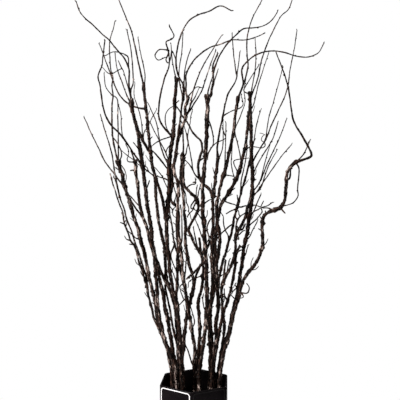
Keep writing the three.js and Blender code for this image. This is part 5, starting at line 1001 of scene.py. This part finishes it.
def make_bark():
    """Dry willow bark: near-black brown with reddish stretches, furrows that run along the
    limb, pale pinkish flecks that are partly dried skin and partly painted highlight standing in
    for glints of light, dark knots, and weathered cuts."""
    material, n, shader = new_material("willow_bark")
    lie = n.add("ShaderNodeAttribute", attribute_name="lie").outputs["Vector"]
    pale_share = n.add("ShaderNodeAttribute", attribute_name="pale").outputs["Fac"]
    knot = n.add("ShaderNodeAttribute", attribute_name="knot").outputs["Fac"]
    cut = n.add("ShaderNodeAttribute", attribute_name="cut").outputs["Fac"]
    along = n.stretch(lie, GRAIN_STRETCH)
    furrow = n.noise(along, 620.0, 4.0, 0.6)
    fibre = n.noise(along, 1500.0, 3.0, 0.6)
    slow, fine = grain(n, lie, 38.0, 900.0)
    reddish = n.band(slow, 0.42, 0.66)
    base = n.mix(reddish, DARK_BARK, REDDISH_BARK)
    ridge = n.band(furrow, 0.48, 0.68)
    base = n.mix(n.math("MULTIPLY", ridge, 0.7), base, RIDGE_BARK)
    # pale pinkish flecks: partly dried skin, partly painted highlight standing in for glints of light
    flecks = n.noise(n.stretch(lie, FLECK_STRETCH), 480.0, 3.0, 0.6)
    skin_and_glint = n.band(n.math("ADD", flecks, n.math("MULTIPLY", pale_share, 0.24)), 0.67, 0.8)
    base = n.mix(n.math("MULTIPLY", skin_and_glint, n.band(fibre, 0.3, 0.55)), base, PALE_SKIN_AND_GLINT)
    base = n.mix(n.math("MULTIPLY", knot, 0.75, True), base, KNOT_BARK)
    base = n.mix(n.band(cut, 0.2, 0.8), base, CUT_WOOD)
    n.tree.links.new(base, shader.inputs["Base Color"])
    rough = n.math("ADD", n.math("MULTIPLY", fine, 0.35), 0.45, True)
    n.tree.links.new(rough, shader.inputs["Roughness"])
    height = n.math("ADD", n.math("MULTIPLY", furrow, 0.7), n.math("MULTIPLY", fine, 0.3))
    relief = n.add("ShaderNodeBump", {"Height": height, "Strength": 0.9, "Distance": 0.0014})
    n.tree.links.new(relief.outputs[0], shader.inputs["Normal"])
    shader.inputs["Specular IOR Level"].default_value = 0.08
    return material


DARK_GLAZE, LIGHTER_GLAZE = (0.003, 0.0024, 0.0027), (0.009, 0.007, 0.0075)
# pale colour of the painted highlight line near the vase's edges, a painted reflection
EDGE_HIGHLIGHT_COLOUR = (0.85, 0.83, 0.82)
HIGHLIGHT_LINE_GAP = 3.8  # mm from the outer edges to the middle of the painted highlight line
HIGHLIGHT_LINE_WIDTH = 1.2  # mm from the middle of that line to where it has faded
HIGHLIGHT_LINE_ARC = 9.0  # mm, the radius of the line's bends, measured out to the edges


def make_glaze():
    """Deep black glaze with a slight unevenness of its gloss, and a painted highlight: a pale line a
    little in from every outer edge, standing in for the reflection of the left softbox in the
    rounded edges, weighted per face."""
    material, n, shader = new_material("black_glaze")
    slow, fine = grain(n, n.add("ShaderNodeTexCoord").outputs["Object"], 14.0, 420.0)
    lie = n.add("ShaderNodeAttribute", attribute_name="edge_lie").outputs["Vector"]
    lie = n.add("ShaderNodeSeparateXYZ", {"Vector": lie})
    # painted highlight: how near each point lies to the pale line in from the edges
    near = [n.math("MAXIMUM", n.math("SUBTRACT", HIGHLIGHT_LINE_ARC, gap), 0.0) for gap in lie.outputs[:2]]
    squares = n.math("ADD", n.math("POWER", near[0], 2.0), n.math("POWER", near[1], 2.0))
    gap = n.math("SUBTRACT", HIGHLIGHT_LINE_ARC, n.math("SQRT", squares))
    off_line = n.math("ABSOLUTE", n.math("SUBTRACT", gap, HIGHLIGHT_LINE_GAP))
    painted_highlight = n.math("SUBTRACT", 1.0, n.band(off_line, 0.5 * HIGHLIGHT_LINE_WIDTH, HIGHLIGHT_LINE_WIDTH))
    base = n.mix(n.band(slow, 0.35, 0.7), DARK_GLAZE, LIGHTER_GLAZE)
    # painted highlight: the pale line near the outer edges, weighted by each face's strength
    base = n.mix(n.math("MULTIPLY", painted_highlight, lie.outputs[2]), base, EDGE_HIGHLIGHT_COLOUR)
    n.tree.links.new(base, shader.inputs["Base Color"])
    rough = n.math("ADD", n.math("MULTIPLY", slow, 0.12), 0.1)
    n.tree.links.new(rough, shader.inputs["Roughness"])
    relief = n.add("ShaderNodeBump", {"Height": fine, "Strength": 0.06, "Distance": 0.0004})
    n.tree.links.new(relief.outputs[0], shader.inputs["Normal"])
    shader.inputs["Specular IOR Level"].default_value = 0.04
    return material


# ---------------------------------------------------------------- studio

SURROUNDING_LIGHT = 0.025  # the surroundings' light, as a share of how white they look
SENSOR_WIDTH, LENS = 36, 48.8  # mm
FLOOR_REACH = 0.56  # m, from the vase to the middle of each side
FLOOR_COLOUR = (0.93, 0.93, 0.93, 1)
AIM = (0, 0, 0.5)  # m, the middle of the stems, which most lights face


def make_camera():
    """A level camera in front of the vase, as far away as the front elevation's eye."""
    data = bpy.data.cameras.new("camera")
    data.sensor_width = SENSOR_WIDTH
    data.lens = LENS
    camera = bpy.data.objects.new("camera", data)
    camera.location = (EYE_ASIDE * MM, -EYE_AWAY * MM, EYE_HEIGHT * MM)
    camera.rotation_euler = (np.radians(90), 0, 0)
    bpy.context.scene.collection.objects.link(camera)
    bpy.context.scene.camera = camera


def make_floor():
    """A square of pale floor round the foot of the vase; it belongs to the stage."""
    mesh = bpy.data.meshes.new("floor")
    corners = [(x * FLOOR_REACH, y * FLOOR_REACH, 0) for x, y in ((-1, -1), (1, -1), (1, 1), (-1, 1))]
    mesh.from_pydata(corners, [], [(0, 1, 2, 3)])
    material, _, shader = new_material("pale_floor")
    shader.inputs["Base Color"].default_value = FLOOR_COLOUR
    shader.inputs["Roughness"].default_value = 0.9
    shader.inputs["Specular IOR Level"].default_value = 0.1
    mesh.materials.append(material)
    floor = bpy.data.objects.new("floor", mesh)
    bpy.context.scene.collection.objects.link(floor)


def softbox(name, at, aim, width, height, watts):
    """A rectangular area light at a place, facing another (all in m); the camera can't see it."""
    data = bpy.data.lights.new(name, "AREA")
    data.shape = "RECTANGLE"
    data.size = width
    data.size_y = height
    data.energy = watts
    light = bpy.data.objects.new(name, data)
    light.location = at
    way = Vector(aim) - Vector(at)
    light.rotation_euler = way.to_track_quat("-Z", "Y").to_euler()
    light.visible_camera = False
    bpy.context.scene.collection.objects.link(light)


def make_lights():
    """White surroundings, which light the piece only faintly, and softboxes for the light."""
    world = bpy.data.worlds.new("studio")
    world.use_nodes = True
    n = Nodes(world.node_tree)
    seen = n.add("ShaderNodeLightPath").outputs["Is Camera Ray"]
    strength = n.math("MAXIMUM", seen, SURROUNDING_LIGHT)
    background = world.node_tree.nodes["Background"]
    background.inputs["Color"].default_value = (1, 1, 1, 1)
    world.node_tree.links.new(strength, background.inputs["Strength"])
    bpy.context.scene.world = world
    softbox("left_key", (-1.3, -0.75, 1.3), AIM, 0.8, 1.1, 68)
    softbox("right_fill", (1.5, -1.1, 1.2), AIM, 0.7, 0.9, 3)
    softbox("back_fill", (0.9, 1.4, 1.3), AIM, 0.7, 0.9, 12)
    softbox("top_light", (0, 0.1, 2.2), (0, 0, 0), 1.1, 1.1, 13)
    bpy.context.scene.view_settings.view_transform = "Standard"


fine_grain = fine_grain_group()
bark = make_bark()
glaze = make_glaze()
make_camera()
make_vase()
for number, stem in enumerate(STEMS):
    make_stem(stem, number)
make_floor()
make_lights()
